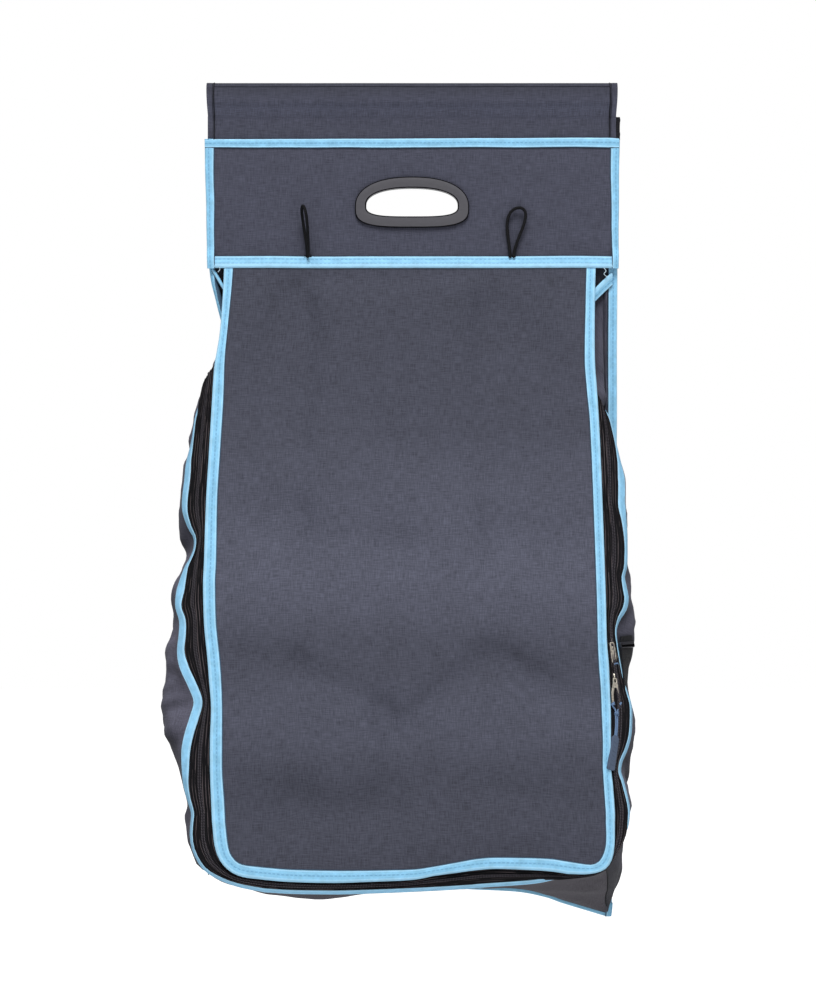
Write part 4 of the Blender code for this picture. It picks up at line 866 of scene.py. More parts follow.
def tape_finish(name, colour, rows=((0.0052, 0.62),), shadow_line_width=0.00085):
    """Woven binding tape: fine ribs, sewn rows with a band of painted shade along each, paler edges, and a
    painted shadow line where it meets the cloth.
    """
    f = Finish(name, roughness=0.72, specular=0.16)
    u, v = f.split()
    ribs = f.wave(u, 0.0009)
    patches = f.math("SUBTRACT", f.grain(90, 150, 3.0, 0.65), 0.5)
    tone = f.total(0.30, (patches, 1.9), (f.grain(1500, 300), 0.42), (ribs, 0.06))
    # the tape is paler towards both of its edges
    paler_edges = f.math("SUBTRACT", 1.0, f.near(v, 0.0052, 0.0030))
    base = f.blend(f.times(paler_edges, 0.30), between(f, tone, colour, 0.80, 1.10), PALE_EDGE_BLUE)
    height = f.times(ribs, 0.35)
    dash = f.math("LESS_THAN", f.math("FRACT", f.math("DIVIDE", u, 0.0042)), 0.60)
    for spot, strength in rows:
        # painted shade: a darker band along each sewn row, where the stitches pull the tape in
        base = f.blend(f.times(f.near(v, spot, 0.0011), 0.30 * strength), base, shade(colour, 0.60))
        seam = f.times(dash, f.near(v, spot, 0.00045))
        base = f.blend(f.times(seam, strength), base, THREAD_BLUE)
        height = f.total(height, (seam, 1.4))
    # painted shadow: a dark line along the tape's inner edge, where it meets the cloth
    crease = f.math("LESS_THAN", v, shadow_line_width)
    f.set("Base Color", f.blend(f.times(crease, 0.88), base, EDGE_SHADOW_COLOUR))
    f.bump(height, 0.00020, 0.8)
    f.sheen(0.06, 0.4)
    return f.material


def zip_cloth(name):
    """Black zip tape with raised cords and a painted brownish highlight on the highest threads."""
    f = Finish(name, roughness=0.70, specular=0.08)
    u, v = f.split()
    cords = f.wave(u, 0.0033)
    # painted highlight: the cords' crests where the noise is high take the brownish highlight colour
    high = f.times(f.over(cords, 0.72), f.over(f.grain(900, 34, 3.0), 0.50))
    base = between(f, f.grain(700, 700), TAPE_COLOUR, 0.6, 1.5)
    f.set("Base Color", f.blend(f.times(high, 0.85), base, RIDGE_HIGHLIGHT_COLOUR))
    twill = f.wave(f.math("ADD", u, v), 0.0012)
    f.bump(f.total(f.times(twill, 0.25), (cords, 0.6)), 0.00030, 0.8)
    return f.material


def coil_finish(name):
    """Nylon coil: slanted turns a millimetre and a half apart, black with a painted highlight on each turn.
    """
    f = Finish(name, roughness=0.40)
    u, v = f.split()
    turns = f.wave(f.total(u, (v, 0.35)), 0.0015)
    # painted highlight: the crest of each turn takes the lighter colour
    f.set("Base Color", f.blend(turns, *COIL_BLACK_AND_HIGHLIGHT))
    f.bump(turns, 0.00040, 0.9)
    return f.material


def metal_finish(name, colour, roughness=0.30):
    """Plated die-cast metal with fine scratches, duller where it is handled, with painted light on faces that
    turn up and painted shade on faces that turn down and in its corners.
    """
    f = Finish(name, metallic=1.0, specular=0.5)
    stains = f.grain(420, 420, 3.0)
    # painted light and shade: faces that turn up are lighter, faces that turn down darker; the stains are
    # random duller patches
    lit = f.total(0.62, (f.upward(), 0.7), (f.math("SUBTRACT", stains, 0.5), 1.8))
    # painted shade: darker in corners where other surfaces are near
    clear = f.total(-0.5, (f.open_share(0.0030), 1.5))
    f.set("Base Color", f.blend(clear, METAL_PAINTED_SHADE, between(f, lit, colour, 0.50, 1.25)))
    f.set("Roughness", f.total(roughness - 0.08, (stains, 0.22)))
    f.bump(f.grain(500, 9000, 2.0), 0.00003, 0.5)
    return f.material


def moulded_finish(name, colour, roughness=0.42, grain=2400, specular=0.30):
    """Moulded plastic with a fine spark-eroded grain and faint scuffs."""
    f = Finish(name, specular=specular)
    scuffs = f.grain(160, 420, 4.0, 0.7)
    f.set("Base Color", between(f, scuffs, colour, 0.90, 1.12))
    f.set("Roughness", f.total(roughness - 0.08, (scuffs, 0.20)))
    f.bump(f.grain(grain, grain, 2.0), 0.00006, 0.6)
    return f.material


def rubber_finish(name, colour):
    """Soft moulded rubber with a satin skin and a little dust."""
    f = Finish(name, specular=0.35)
    dust = f.grain(900, 900, 4.0, 0.7)
    f.set("Base Color", between(f, dust, colour, 0.86, 1.22))
    f.set("Roughness", f.total(0.42, (dust, 0.25)))
    f.bump(f.grain(3600, 3600, 2.0), 0.00005, 0.6)
    return f.material


def braid_finish(name, dark, light, pitch=0.0016, turns=4):
    """Braided cord: two sets of strands that cross round it, with painted light on the raised strands and
    painted shade between them.
    """
    f = Finish(name, roughness=0.62, specular=0.12)
    u, v = f.split()
    along, across = f.times(u, 2 * math.pi / pitch), f.times(v, 2 * math.pi * turns)
    strands = [f.math("SINE", f.math(way, along, across)) for way in ("ADD", "SUBTRACT")]
    high = f.math("MAXIMUM", *strands)
    # painted light and shade: the raised strands take the lighter colour, the gaps between them the darker
    # one
    f.set("Base Color", f.blend(f.total(0.25, (high, 0.5)), dark, light))
    f.bump(high, 0.00022, 0.9)
    return f.material


def webbing_finish(name, colour):
    """Flat woven webbing: a herringbone of ribs."""
    f = Finish(name, roughness=0.66, specular=0.15)
    u, v = f.split()
    ribs = f.wave(f.math("ADD", v, f.math("PINGPONG", u, 0.0025)), 0.0014)
    # random grain of tone, with painted light on the ribs' crests and painted shade between them
    f.set("Base Color", between(f, f.total(f.grain(1800, 1800), (ribs, 0.25)), colour, 0.7, 2.0))
    f.bump(ribs, 0.00028, 0.9)
    f.sheen(0.03, 0.4)
    return f.material


def pile_finish(name, colour):
    """Hook and loop tape: a dense short pile."""
    f = Finish(name, roughness=0.9, specular=0.15)
    pile = f.grain(2600, 2600, 3.0, 0.8)
    f.set("Base Color", between(f, pile, colour, 0.6, 2.4))
    f.bump(f.total(pile, (f.wave(f.split()[1], 0.0018), 0.3)), 0.00050, 1.0)
    f.sheen(0.06, 0.5)
    return f.material


CANVAS = canvas("canvas_grey", CANVAS_COLOUR, 1.0)
CANVAS_FLAP = canvas("canvas_flap", CANVAS_COLOUR, 1.0, FLAP_PAINTED_SHADE)
CANVAS_HEADER = canvas("canvas_header", HEADER_COLOUR)
CANVAS_SLEEVE = canvas("canvas_sleeve", HEADER_COLOUR, fade=SLEEVE_PAINTED_LIGHT_AND_SHADE)
# the gussets get painted light on faces that turn up and painted shade on faces that turn down
CANVAS_SHADE = canvas("canvas_gusset", SHADE_COLOUR, mottle=0.9, painted_top_light=1.5)
CANVAS_UNDER = canvas("canvas_underside", UNDERSIDE_COLOUR)
# painted shade: the back turns fully dark where other surfaces are near
CANVAS_BACK = canvas("canvas_back", CANVAS_COLOUR, 1.0, reach=0.050, painted_shade_darkest=0.0)
BLUE_TAPE = tape_finish("tape_blue", BLUE_COLOUR)
SEAM_TAPE = tape_finish("tape_blue_header", SEAM_BLUE, ((0.0036, 0.60), (0.0080, 0.35)))
GUSSET_TAPE = tape_finish("tape_blue_gusset", SEAM_BLUE, (), 0.0)
ZIP_CLOTH = zip_cloth("zip_cloth")
ZIP_COIL = coil_finish("zip_coil_nylon")
METAL = metal_finish("plated_champagne", METAL_COLOUR)
METAL_BLACK = metal_finish("blackened_metal", shade(BLACK_COLOUR, 1.5), 0.5)
PLASTIC = moulded_finish("plastic_handle", PLASTIC_COLOUR)
# painted shade: the near-black rim colour stands for the shadow lines round the handle's rims
PLASTIC_RIM_SHADE = moulded_finish("plastic_handle_rim_shade", shade(BLACK_COLOUR, 0.6), 0.6, specular=0.05)
BOARD = moulded_finish("stiffener_board", BOARD_COLOUR, 0.6, 700)
BUCKLE = moulded_finish("plastic_buckle", shade(BLACK_COLOUR, 1.6), 0.34)
# each cord and thread has a shaded and a lit copy of its colour: painted shade and painted light on its braid
ELASTIC = braid_finish("elastic_braid", shade(ELASTIC_COLOUR, 0.4), shade(ELASTIC_COLOUR, 2.0))
PULL_BRAID = braid_finish("pull_braid", shade(CORD_BLUE, 0.45), shade(CORD_BLUE, 1.3), 0.0012, 3)
THREAD = braid_finish("sewing_thread", shade(BLACK_COLOUR, 0.4), shade(BLACK_COLOUR, 1.4), 0.0008, 2)
PALE_THREAD = braid_finish("pale_thread", *PALE_COLOURS, 0.0008, 2)
RUBBER = rubber_finish("rubber_tab", TAB_BLUE)
WEBBING = webbing_finish("webbing_black", shade(BLACK_COLOUR, 0.5))
PILE = pile_finish("hook_and_loop_pile", shade(BLACK_COLOUR, 0.8))


def place(made, body, slot, material, *nodes):
    """Give a piece its finish, let it ride on a body, and let it stand for CAD nodes."""
    if material is not None:
        made.data.materials.clear()
        made.data.materials.append(material)
    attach(made, body)
    if nodes:
        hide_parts(*nodes)
    return made


# Camera

def make_camera():
    data = bpy.data.cameras.new("camera")
    data.sensor_fit = "VERTICAL"
    data.sensor_height = SENSOR_HEIGHT
    data.lens = SENSOR_HEIGHT * CAMERA_DISTANCE / FRAME_HEIGHT
    data.clip_end = 60.0
    made = link("camera", data)
    made.location = (CAMERA_X, -CAMERA_DISTANCE, CAMERA_Z)
    made.rotation_euler = (math.pi / 2, 0.0, 0.0)
    bpy.context.scene.camera = made


# Elastic loops

def loop_path(x, turn, lean, count=60):
    """The cord's middle line: up one strand, round the end of the loop and down the other."""
    foot = LOOP_CORD / 2 + 0.0003
    points = []
    for i in range(count + 1):
        angle = math.pi * i / count
        spread = math.sin(angle) ** LOOP_TAPER
        half = foot + (LOOP_FULLNESS * LOOP_WIDTH / 2 - foot) * spread
        across = math.cos(angle) * half
        points.append((x + math.cos(turn) * across + lean * spread,
                       LOOP_BASE_Y - math.sin(turn) * (across + half),
                       LOOP_BASE_Z + LOOP_HEIGHT * math.sin(angle)))
    return np.array(points)


def make_loops():
    for word, x, turn, lean in LOOPS:
        path = loop_path(x, turn, lean)
        made = tube("elastic_cord_" + word, path, LOOP_CORD / 2, 16)
        place(made, "loop_" + word, "elastic_cord", ELASTIC, "elastic_loop_" + word)
        bars = []
        for i in range(3):
            spot = np.array((x, LOOP_BASE_Y + 0.0016, LOOP_BASE_Z + 0.0014 - 0.0008 * i))
            reach = np.array((0.0036, 0.0, 0.0004 * (-1) ** i))
            bars.append(tube("bar_tack", [spot - reach, spot, spot + reach], 0.0004, 6))
        place(joined("bar_tack_" + word, bars), "organizer", "elastic_cord", THREAD)


# Handle and header

def d_outline(grow):
    """The handle's outline: an arched top over a flatter bottom with round corners."""
    width, height = HANDLE_HOLE[0] + 2 * grow, HANDLE_HOLE[1] + 2 * grow
    rise, drop = 0.60 * height, 0.40 * height
    points = []
    for i in range(88):
        angle = 2 * math.pi * i / 88
        x, z = math.cos(angle), math.sin(angle)
        power, reach = (2.3, rise) if z > 0 else (3.4, drop)
        size = (abs(x) ** power + abs(z) ** power) ** (-1 / power)
        points.append((x * size * width / 2, HANDLE_Z + height / 2 - rise + z * size * reach))
    return points


def carve_hole(made):
    """Cut the handle's opening out of a panel and give it UVs in metres."""
    tool = prism(d_outline(HANDLE_GAP), -0.03, 0.03)
    for vert in tool.data.vertices:
        vert.co = (vert.co.x, vert.co.z, vert.co.y)
    cut_out(made, [outward(tool)])
    applied(made, [tool], 50)
    add_flat_uvs(made, 0, 2)
    return made


def make_handle():
    """The two plates: closed sections led round the handle's opening."""
    for word, face, section in (("front", HANDLE_FRONT, FRONT_PLATE), ("back", HANDLE_BACK, BACK_PLATE)):
        bm = bmesh.new()
        rows = [[bm.verts.new((x, face + behind * MM, z)) for x, z in d_outline(grow * MM)]
                for grow, behind, lip in section]
        for row, following, (grow, behind, lip) in zip(rows, rows[1:] + rows[:1], section):
            for i in range(len(row)):
                j = (i + 1) % len(row)
                quad = bm.faces.new((row[i], row[j], following[j], following[i]))
                # sections marked 1 take the rims' painted shade
                quad.material_index = lip
                quad.smooth = True
        bmesh.ops.recalc_face_normals(bm, faces=bm.faces)
        made = from_bmesh("handle_%s_plate" % word, bm)
        add_flat_uvs(made, 0, 2)
        made.data.materials.append(PLASTIC)
        made.data.materials.append(PLASTIC_RIM_SHADE)
        place(sharpen(made, 55), "organizer", "handle_plastic", None, "handle_" + word)


def side_lean(z, side):
    """How far the header's left (-1) or right (1) edge leans inward towards its bottom."""
    share = np.clip((HEADER_TOP - z) / (HEADER_TOP - HEADER_BOTTOM), 0, 1.05)
    return share * (0.0034 if side < 0 else -0.0013)


def make_header():
    make_header_cloth()
    pieces = [header_side_tape(-1, 1), header_side_tape(1, 2)]
    x = np.linspace(-HEADER_HALF + 0.0008, HEADER_HALF - 0.0008, 120)
    wave = 0.0007 * wobble(places(x, 0.0, 0.0), 0.05, 4)
    droop = -0.0012 * np.exp(-(np.clip((HEADER_HALF - np.abs(x)) / 0.012, 0, 1) * 2) ** 2)
    outer = places(x, PANEL_Y - 0.0003, HEADER_TOP + wave * 0.4 + droop * 0.6 + 0.0008 * x / HEADER_HALF)
    inner = places(x, PANEL_Y - 0.0003, HEADER_TOP - BINDING_WIDTH + 0.0003 + wave)
    pieces.append(ribbon("top", inner, outer, puff=0.0010))
    place(joined("header_tape", pieces), "organizer", "blue_binding", BLUE_TAPE, "header_binding")

    x = np.linspace(-HEADER_HALF + 0.0062, HEADER_HALF - 0.0040, 130)
    wave = 0.0008 * wobble(places(x, 0.0, 0.0), 0.06, 9)
    outer = places(x, PANEL_Y - 0.0040, HEADER_BOTTOM - 0.0010 + wave * 0.5)
    inner = places(x, PANEL_Y - 0.0004, HEADER_BOTTOM + BINDING_WIDTH + 0.0012 + wave)
    seam = ribbon("header_seam_tape", inner, outer, puff=0.0010)
    place(seam, "organizer", "blue_binding", SEAM_TAPE, "header_seam_binding")
    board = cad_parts["header_board"]
    board.data.materials.clear()
    board.data.materials.append(BOARD)


def make_header_cloth():
    """The front cloth, which stands a little off its board between the seams and the handle."""
    inset = THIN_CLOTH
    xs = np.linspace(-HEADER_HALF + inset, HEADER_HALF - inset, 110)
    x, z = np.meshgrid(xs, np.linspace(HEADER_TOP - inset, HEADER_BOTTOM + inset, 38))
    edge = np.minimum(HEADER_HALF - np.abs(x), np.minimum(HEADER_TOP - z, z - HEADER_BOTTOM))
    lift = -0.0011 * fade_in(edge, 0.008, 0.02) * (0.5 + 0.5 * wobble(places(x, 0.0, z), 0.06, 3))
    from_handle = np.hypot(x / 0.070, (z - HANDLE_Z) / 0.034)
    lean = side_lean(z, -1) * fade_in(-x, 0.12, 0.08) + side_lean(z, 1) * fade_in(x, 0.12, 0.08)
    grid = places(x + lean, PANEL_Y + lift * np.clip(from_handle - 0.9, 0, 1), z)
    panel = carve_hole(cloth_sheet("header_cloth", grid, THIN_CLOTH))
    place(panel, "organizer", "grey_cloth", CANVAS_HEADER, "header_panel")


def header_side_tape(side, seed):
    """Tape down the header's left (-1) or right (1) edge."""
    z = np.linspace(HEADER_TOP - 0.0006, HEADER_BOTTOM - 0.0014, 60)
    wave = 0.0009 * wobble(places(0.0, 0.0, z), 0.035, seed)
    edge = side * HEADER_HALF + side_lean(z, side)
    y = PANEL_Y - 0.0036 * fade_in(-z, -HEADER_BOTTOM - 0.020, 0.009)
    narrow = fade_in(-z, -HEADER_TOP, 0.13) * (0.0018 if side < 0 else 0.0030)
    inner = places(edge - side * (BINDING_WIDTH - 0.0003 - narrow) + wave, y, z)
    return ribbon("side", inner, places(edge + wave * 0.6, y, z))


# Sleeve

def sleeve_path(foot_y, foot_z, side):
    """Side view of a leg of the sleeve, from its foot to the top of the pole."""
    top = np.array((foot_y, -0.0195))
    turn = math.acos(SLEEVE_RADIUS / np.linalg.norm(top))
    start = math.atan2(top[1], top[0]) + side * turn + (2 * math.pi if side < 0 else 0)
    arc = np.linspace(start, math.pi / 2 - 0.008 * side, 22)
    circle_part = np.stack((np.cos(arc), np.sin(arc)), 1) * SLEEVE_RADIUS
    return np.vstack((np.linspace((foot_y, foot_z), top, 14), circle_part))


def make_sleeve():
    for word, body, foot_y, foot_z, side, below in (
            ("front", "organizer", -0.0007, -0.0534, -1, "header_cloth"),
            ("back", "sleeve_flap", 0.0034, -0.0445, 1, "sleeve_cloth_front")):
        path = sleeve_path(foot_y, foot_z, side)
        xs = np.linspace(-SLEEVE_HALF, SLEEVE_HALF, 112)
        grid = places(xs[None], path[:, :1], path[:, 1:])
        normal = surface_normals(grid)
        if normal[..., 1].sum() * side < 0:
            normal = -normal
        soft = 0.0006 * wobble(grid, 0.05, 5) * np.sin(math.pi * np.linspace(0, 1, len(path)))[:, None]
        hem = 0.0002 * (1 - fade_in((SLEEVE_HALF - np.abs(xs)) / 0.0072, 0.9, 0.1))
        grid = grid + normal * (soft + hem[None])[..., None]
        if side < 0:
            grid[..., 0] += 0.0006 * np.sin(grid[..., 2] * 60) * np.sign(grid[..., 0])
        made = cloth_sheet("sleeve_cloth_" + word, grid, THIN_CLOTH, (0, side, 0.2), 60)
        place(made, body, "grey_cloth", CANVAS_SLEEVE, "sleeve_" + word)
        lines = []
        for sign, column in ((-1, 3), (1, -4)):
            for inset, radius in ((0.0072, 0.00042), (0.0058, 0.0002)):
                line = places(sign * (SLEEVE_HALF - inset), path[:, 0], path[:, 1])
                line = line + normal[:, column] * (0.0006 + radius * 0.4)
                lines.append(tube("stitch_line", by_length(line[2:], 50), radius, 6))
        if side < 0:
            line = grid[-9] + normal[-9] * 0.0007
            lines.append(tube("stitch_line", by_length(line[2:-2], 160), 0.00028, 6))
        place(joined("sleeve_stitching_" + word, lines), body, "hook_and_loop", THREAD)

    for name, body, y, right in (("loop_tape", "organizer", 0.0002, 0.2080),
                                 ("hook_tape", "sleeve_flap", 0.0015, 0.2076)):
        x, z = np.meshgrid(np.linspace(-SLEEVE_HALF + 0.004, right, 90), np.linspace(-0.0195, -0.0425, 9))
        fray = 0.0004 * wobble(places(x, 0.0, z), 0.004, 11)
        frayed_x = x + (np.abs(x - right) < 1e-6) * fray * 2
        made = cloth_sheet(name + "_pile", places(frayed_x, y + 0.0005 + fray * 0.2, z), 0.0009)
        place(made, body, "hook_and_loop", PILE, name)


# Back panel

def make_back():
    edge = BACK_EDGE + BACK_INWARD * 1.1
    left, right = (by_length(line[:MID_LEFT + 1], 190) for line in (edge, edge[::-1]))
    left, right = (by_length(np.vstack((line[:1] + (0, -48), line)), 200) for line in (left, right))
    bottom = by_length(edge[MID_LEFT:MID_RIGHT + 1], 92)
    pixels = coons(np.linspace(left[0], right[0], 92), bottom, left, right)
    from_side = np.minimum(np.linspace(0, 1, 92), np.linspace(1, 0, 92))
    calm = np.clip(from_side * 12, 0, 1) * fade_in(pixels[..., 1], 250, 80)
    y = BACK_Y + 0.0016 * wobble(on_plane(pixels, 0.0), 0.10, 6) * calm
    panel = carve_hole(cloth_sheet("back_cloth", on_plane(pixels, y)))
    place(panel, "organizer", "grey_cloth", CANVAS_BACK, "back_panel")

    row = BACK_EDGE[:, 1]
    seen = np.full(STATIONS, BACK_TAPE)
    upper_left = (np.arange(STATIONS) < MID_LEFT) & (row < 440)
    seen[upper_left] = np.interp(row[upper_left], *zip(*BACK_TAPE_SEEN))
    turned = np.minimum(np.sqrt(np.maximum(BACK_TAPE ** 2 - seen ** 2, 0)) * PIXEL, 0.0045)
    turned = turned * fade_in(row, 262, 25)
    inner = on_plane(BACK_EDGE + BACK_INWARD * seen[:, None], BACK_Y - 0.0008 - turned)
    binding = ribbon("back_tape", inner, on_plane(BACK_EDGE, BACK_Y - 0.0008), half=0.0016)
    corner = on_plane(CORNER_TAB, BACK_Y - 0.0040)
    tab = ribbon("corner_tab", corner, corner + (0.0062, 0.0, 0.0003), half=0.0009)
    made = joined("back_tape_with_tab", [binding, tab])
    place(made, "organizer", "blue_binding", BLUE_TAPE, "back_binding")


# Flap

def below_seam(pixels, out=0.0):
    """World places of pixels on the flap, whose folds fade in below the header's seam."""
    folded = fade_in(pixels[..., 1:], FLAP_TOP_ROW, 14)
    return flap_surface(pixels, out) * folded + on_flap(pixels) * (1 - folded)


def make_flap():
    edge = FLAP_EDGE * 0.86 + FLAP_TAPE * 0.14
    left, right = (by_length(line[:MID_LEFT + 1], 206) for line in (edge, edge[::-1]))
    bottom = by_length(edge[MID_LEFT:MID_RIGHT + 1], 126)
    pixels = coons(np.linspace(left[0], right[0], 126), bottom, left, right)
    grid = below_seam(pixels, 0.00035 * wobble(on_plane(pixels, 0.0), 0.018, 8))
    made = cloth_sheet("flap_cloth", grid)
    place(made, "flap", "grey_cloth", CANVAS_FLAP, "front_flap")
    row = FLAP_EDGE[:, 1]
    wave = 0.0006 * wobble(on_plane(FLAP_EDGE, 0.0), 0.03, 12) * fade_in(row, FLAP_TOP_ROW, 14)
    binding = ribbon("flap_tape", below_seam(FLAP_TAPE), below_seam(FLAP_EDGE, wave - 0.0002), FLAP_NORMAL,
                     spread=np.clip((row - FLAP_TOP_ROW + 3) / 9, 0.35, 1))
    place(binding, "flap", "blue_binding", BLUE_TAPE, "flap_binding")


# Zip and gussets

ACROSS = 27                   # places across a gusset, from its tape to the back


def station_share():
    """0 on the sides and 1 along the bottom, at each station."""
    corners = (LEFT_END, BOTTOM_START, BOTTOM_END, STATIONS - 1 - LEFT_END)
    return np.interp(np.arange(STATIONS), corners, (0, 1, 1, 0))


def by_station(left, bottom, right):
    """A value with one size on the left, another along the bottom and another on the right."""
    on_left = np.arange(STATIONS) < (BOTTOM_START + BOTTOM_END) / 2
    share = station_share()
    return np.where(on_left, left, right) * (1 - share) + bottom * share


def hidden_share():
    """1 where the zip's cloth lies over the gusset's tape, 0 where the tape is seen."""
    column, row = GUSSET_EDGE.T
    station = np.arange(STATIONS)
    corner = fade_in(row, *HIDDEN_CORNER) * (station > BOTTOM_END)
    bottom = fade_in(column, *HIDDEN_BOTTOM) * ((station > BOTTOM_START) & (station <= BOTTOM_END))
    return np.maximum(1 - fade_in(row, *SEEN_BELOW), np.maximum(corner, bottom))


def gusset_edge_lines():
    """The gusset's tape: its inner line by the zip, its outer one, and how deep it lies."""
    outside = outward_of(GUSSET_EDGE)
    row = GUSSET_EDGE[:, 1]
    shown = by_station(np.interp(row, *zip(*GUSSET_TAPE_LEFT)), 1.9, np.interp(row, *zip(*GUSSET_TAPE_RIGHT)))
    shown = (shown * (1 - 0.7 * hidden_share()))[:, None]
    wave = 0.0012 * wobble(on_plane(GUSSET_EDGE, 0.0), 0.022, 21)
    behind = 0.0046 + (by_station(0.0092, 0.0066, 0.0066) - 0.0046 + wave) * fade_in(row, 345, 50)
    drop = np.sqrt(np.maximum(BINDING_WIDTH ** 2 - (2 * shown[:, 0] * PIXEL) ** 2, 0))
    inner = on_flap(GUSSET_EDGE - outside * shown, -behind)
    return inner, on_flap(GUSSET_EDGE + outside * shown, -(behind + drop)), behind


def zip_band(lines, ridges, normal):
    """A grid through lines along the zip, with this many raised cords between each two of them."""
    cross = []
    for a, b, count in zip(lines, lines[1:], ridges):
        for s in np.linspace(0, 1, 4 * count + 1 if count else 3)[:-1]:
            lift = 0.00055 * (0.5 - 0.5 * math.cos(2 * math.pi * s * count))
            wave = 0.0004 * wobble(a, 0.03, 31 + int(4 * s))
            cross.append(a * (1 - s) + b * s + normal * (lift + wave * s * (1 - s) * 4)[:, None])
    return np.stack(cross + [lines[-1]], 1)


def make_zip(inner_edge, outer_edge, behind):
    """Two tapes between the flap's edge and the gusset's, and the coil that joins them."""
    start = np.argmax(FLAP_EDGE[:, 1] > 360)
    rows = slice(start, STATIONS - start)
    outside = outward_of(FLAP_EDGE)
    sewn = flap_surface((FLAP_EDGE - outside * 5.5)[rows], -0.0030)
    leave = flap_surface((FLAP_EDGE - outside * 0.5)[rows], -0.0036)
    cover = on_flap(GUSSET_EDGE + outward_of(GUSSET_EDGE) * 1.6, 0.0014 - behind)
    hidden = hidden_share()[:, None]
    far = (inner_edge * (1 - hidden) + cover * hidden)[rows]
    lap = far + (outer_edge - inner_edge)[rows] * (0.35 - 0.10 * hidden[rows])
    coil = (leave + far) / 2
    across = unit(far - leave)
    normal = facing(unit(np.cross(np.gradient(coil, axis=0), far - leave)), FLAP_NORMAL)
    coil = coil + normal * 0.0004

    for word, body, lines, ridges in (("flap", "flap", (sewn, leave, coil - across * 0.0007), (0, 3)),
                                      ("gusset", "organizer", (coil + across * 0.0007, far, lap), (3, 0))):
        made = cloth_sheet("zip_cloth_" + word, zip_band(lines, ridges, normal), TAPE, FLAP_NORMAL)
        place(made, body, "zip_tape", ZIP_CLOTH, "zip_tape_" + word)
    for word, body, side in (("flap", "flap", -1), ("gusset", "organizer", 1)):
        middle = coil + across * (side * 0.0011) + normal * 0.0003
        rings = [middle + across * (0.0009 * math.cos(turn)) + normal * (0.0008 * math.sin(turn))
                 for turn in np.linspace(0, 2 * math.pi, 10, endpoint=False)]
        made = loft("zip_coil_half_" + word, np.stack(rings, 1), np.linspace(0, 0.0055, 11), lengths(coil))
        place(made, body, "zip_coil", ZIP_COIL, "zip_coil_" + word)
    for word, end in (("left", 0), ("right", -1)):
        made = plate("zip_stop_clamp_" + word, both_sides(0.5, (1.3, -2.0), (1.3, 2.0)), -0.9, 0.9, 0.3)
        x_axis, z_axis = Vector(across[end]), Vector(normal[end])
        into_place(made, Vector(coil[end]) - Vector((0, 0, 0.0020)), x_axis, z_axis.cross(x_axis), z_axis)
        place(made, "organizer", "plated_metal", METAL_BLACK, "zip_stop_" + word)


def seam_line():
    """Where the gussets meet the back, in the picture, at each station."""
    start = np.argmax(BACK_EDGE[:, 1] > 276)
    inset = np.full(STATIONS, SEAM_INSET_RIGHT[0][1])
    inset[BOTTOM_END:] = np.interp(BACK_EDGE[BOTTOM_END:, 1], *zip(*SEAM_INSET_RIGHT))
    line = BACK_EDGE + BACK_INWARD * inset[:, None]
    left, right = (by_length(side[start:LEFT_END + 1], SIDE_COUNT) for side in (line, line[::-1]))
    bottom = by_axis((BACK_EDGE + BACK_INWARD * 3.6)[BOTTOM_START:BOTTOM_END + 1], 0, BOTTOM_COUNT)
    ramp = np.linspace(0, 1, CORNER_COUNT)[:, None]
    corner_left = by_length(line[LEFT_END:BOTTOM_START + 1], CORNER_COUNT)
    corner_left = corner_left + ramp * (bottom[0] - corner_left[-1])
    corner_right = by_length(line[BOTTOM_END:STATIONS - LEFT_END], CORNER_COUNT)
    corner_right = corner_right + ramp[::-1] * (bottom[-1] - corner_right[0])
    return np.vstack((left[:-1], corner_left[:-1], bottom[:-1], corner_right[:-1], right[::-1]))


def gusset_grid(inner, outer):
    """Middle surface of all three gussets: a row for each station, from the zip to the back."""
    depth = np.minimum(np.abs(outer[:, 1]) * 0.34, by_station(0.024, 0.030, 0.022))
    belly = on_plane(BELLY, outer[:, 1] + depth)
    seam = on_plane(seam_line(), SEAM_Y)
    side = 1 - station_share()[:, None]
    rear = seam + (belly - seam) * (np.array((0.80, 0.24, 0.30)) * side + 0.3 * (1 - side))
    turn = seam + (rear - seam) * 0.12
    turn[:, 1] = np.minimum(turn[:, 1], -0.0030)
    keys = np.stack((outer, belly, rear, turn, seam), 1)
    grid = np.stack([by_length(smooth_line(row, 12), ACROSS) for row in keys])
    lead = np.stack([inner * (1 - share) + outer * share for share in (0.15, 0.70)], 1)
    return np.concatenate((lead, grid), 1), seam


def gusset_folds(grid):
    """Soft folds that run from the zip's bends to the back, and smaller creases between them."""
    out = grid - grid.reshape(-1, 3).mean(axis=0)
    out[..., 1] = 0
    normal = facing(surface_normals(grid), out)
    share = np.linspace(0, 1, grid.shape[1])
    slanted = grid * (0.6, 0.45, 1.0)
    slanted[..., 2] += grid[..., 1] * 0.45
    large = wobble(slanted, 0.036, 41)
    small = wobble(slanted * (1.0, 1.0, 1.3), 0.014, 43)
    crease = 0.25 - np.abs(wobble(slanted, 0.028, 47))
    lift = 0.0046 * (large + crease) + 0.0016 * small
    room = fade_in(share, 0.075, 0.10) * fade_in(1 - share, 0, 0.18)
    calm = np.clip((-0.215 - grid[..., 2]) / 0.10, 0.1, 1)
    folded = grid + normal * (lift * room * calm)[..., None]
    folded[..., 1] = np.minimum(folded[..., 1], SEAM_Y)
    return folded


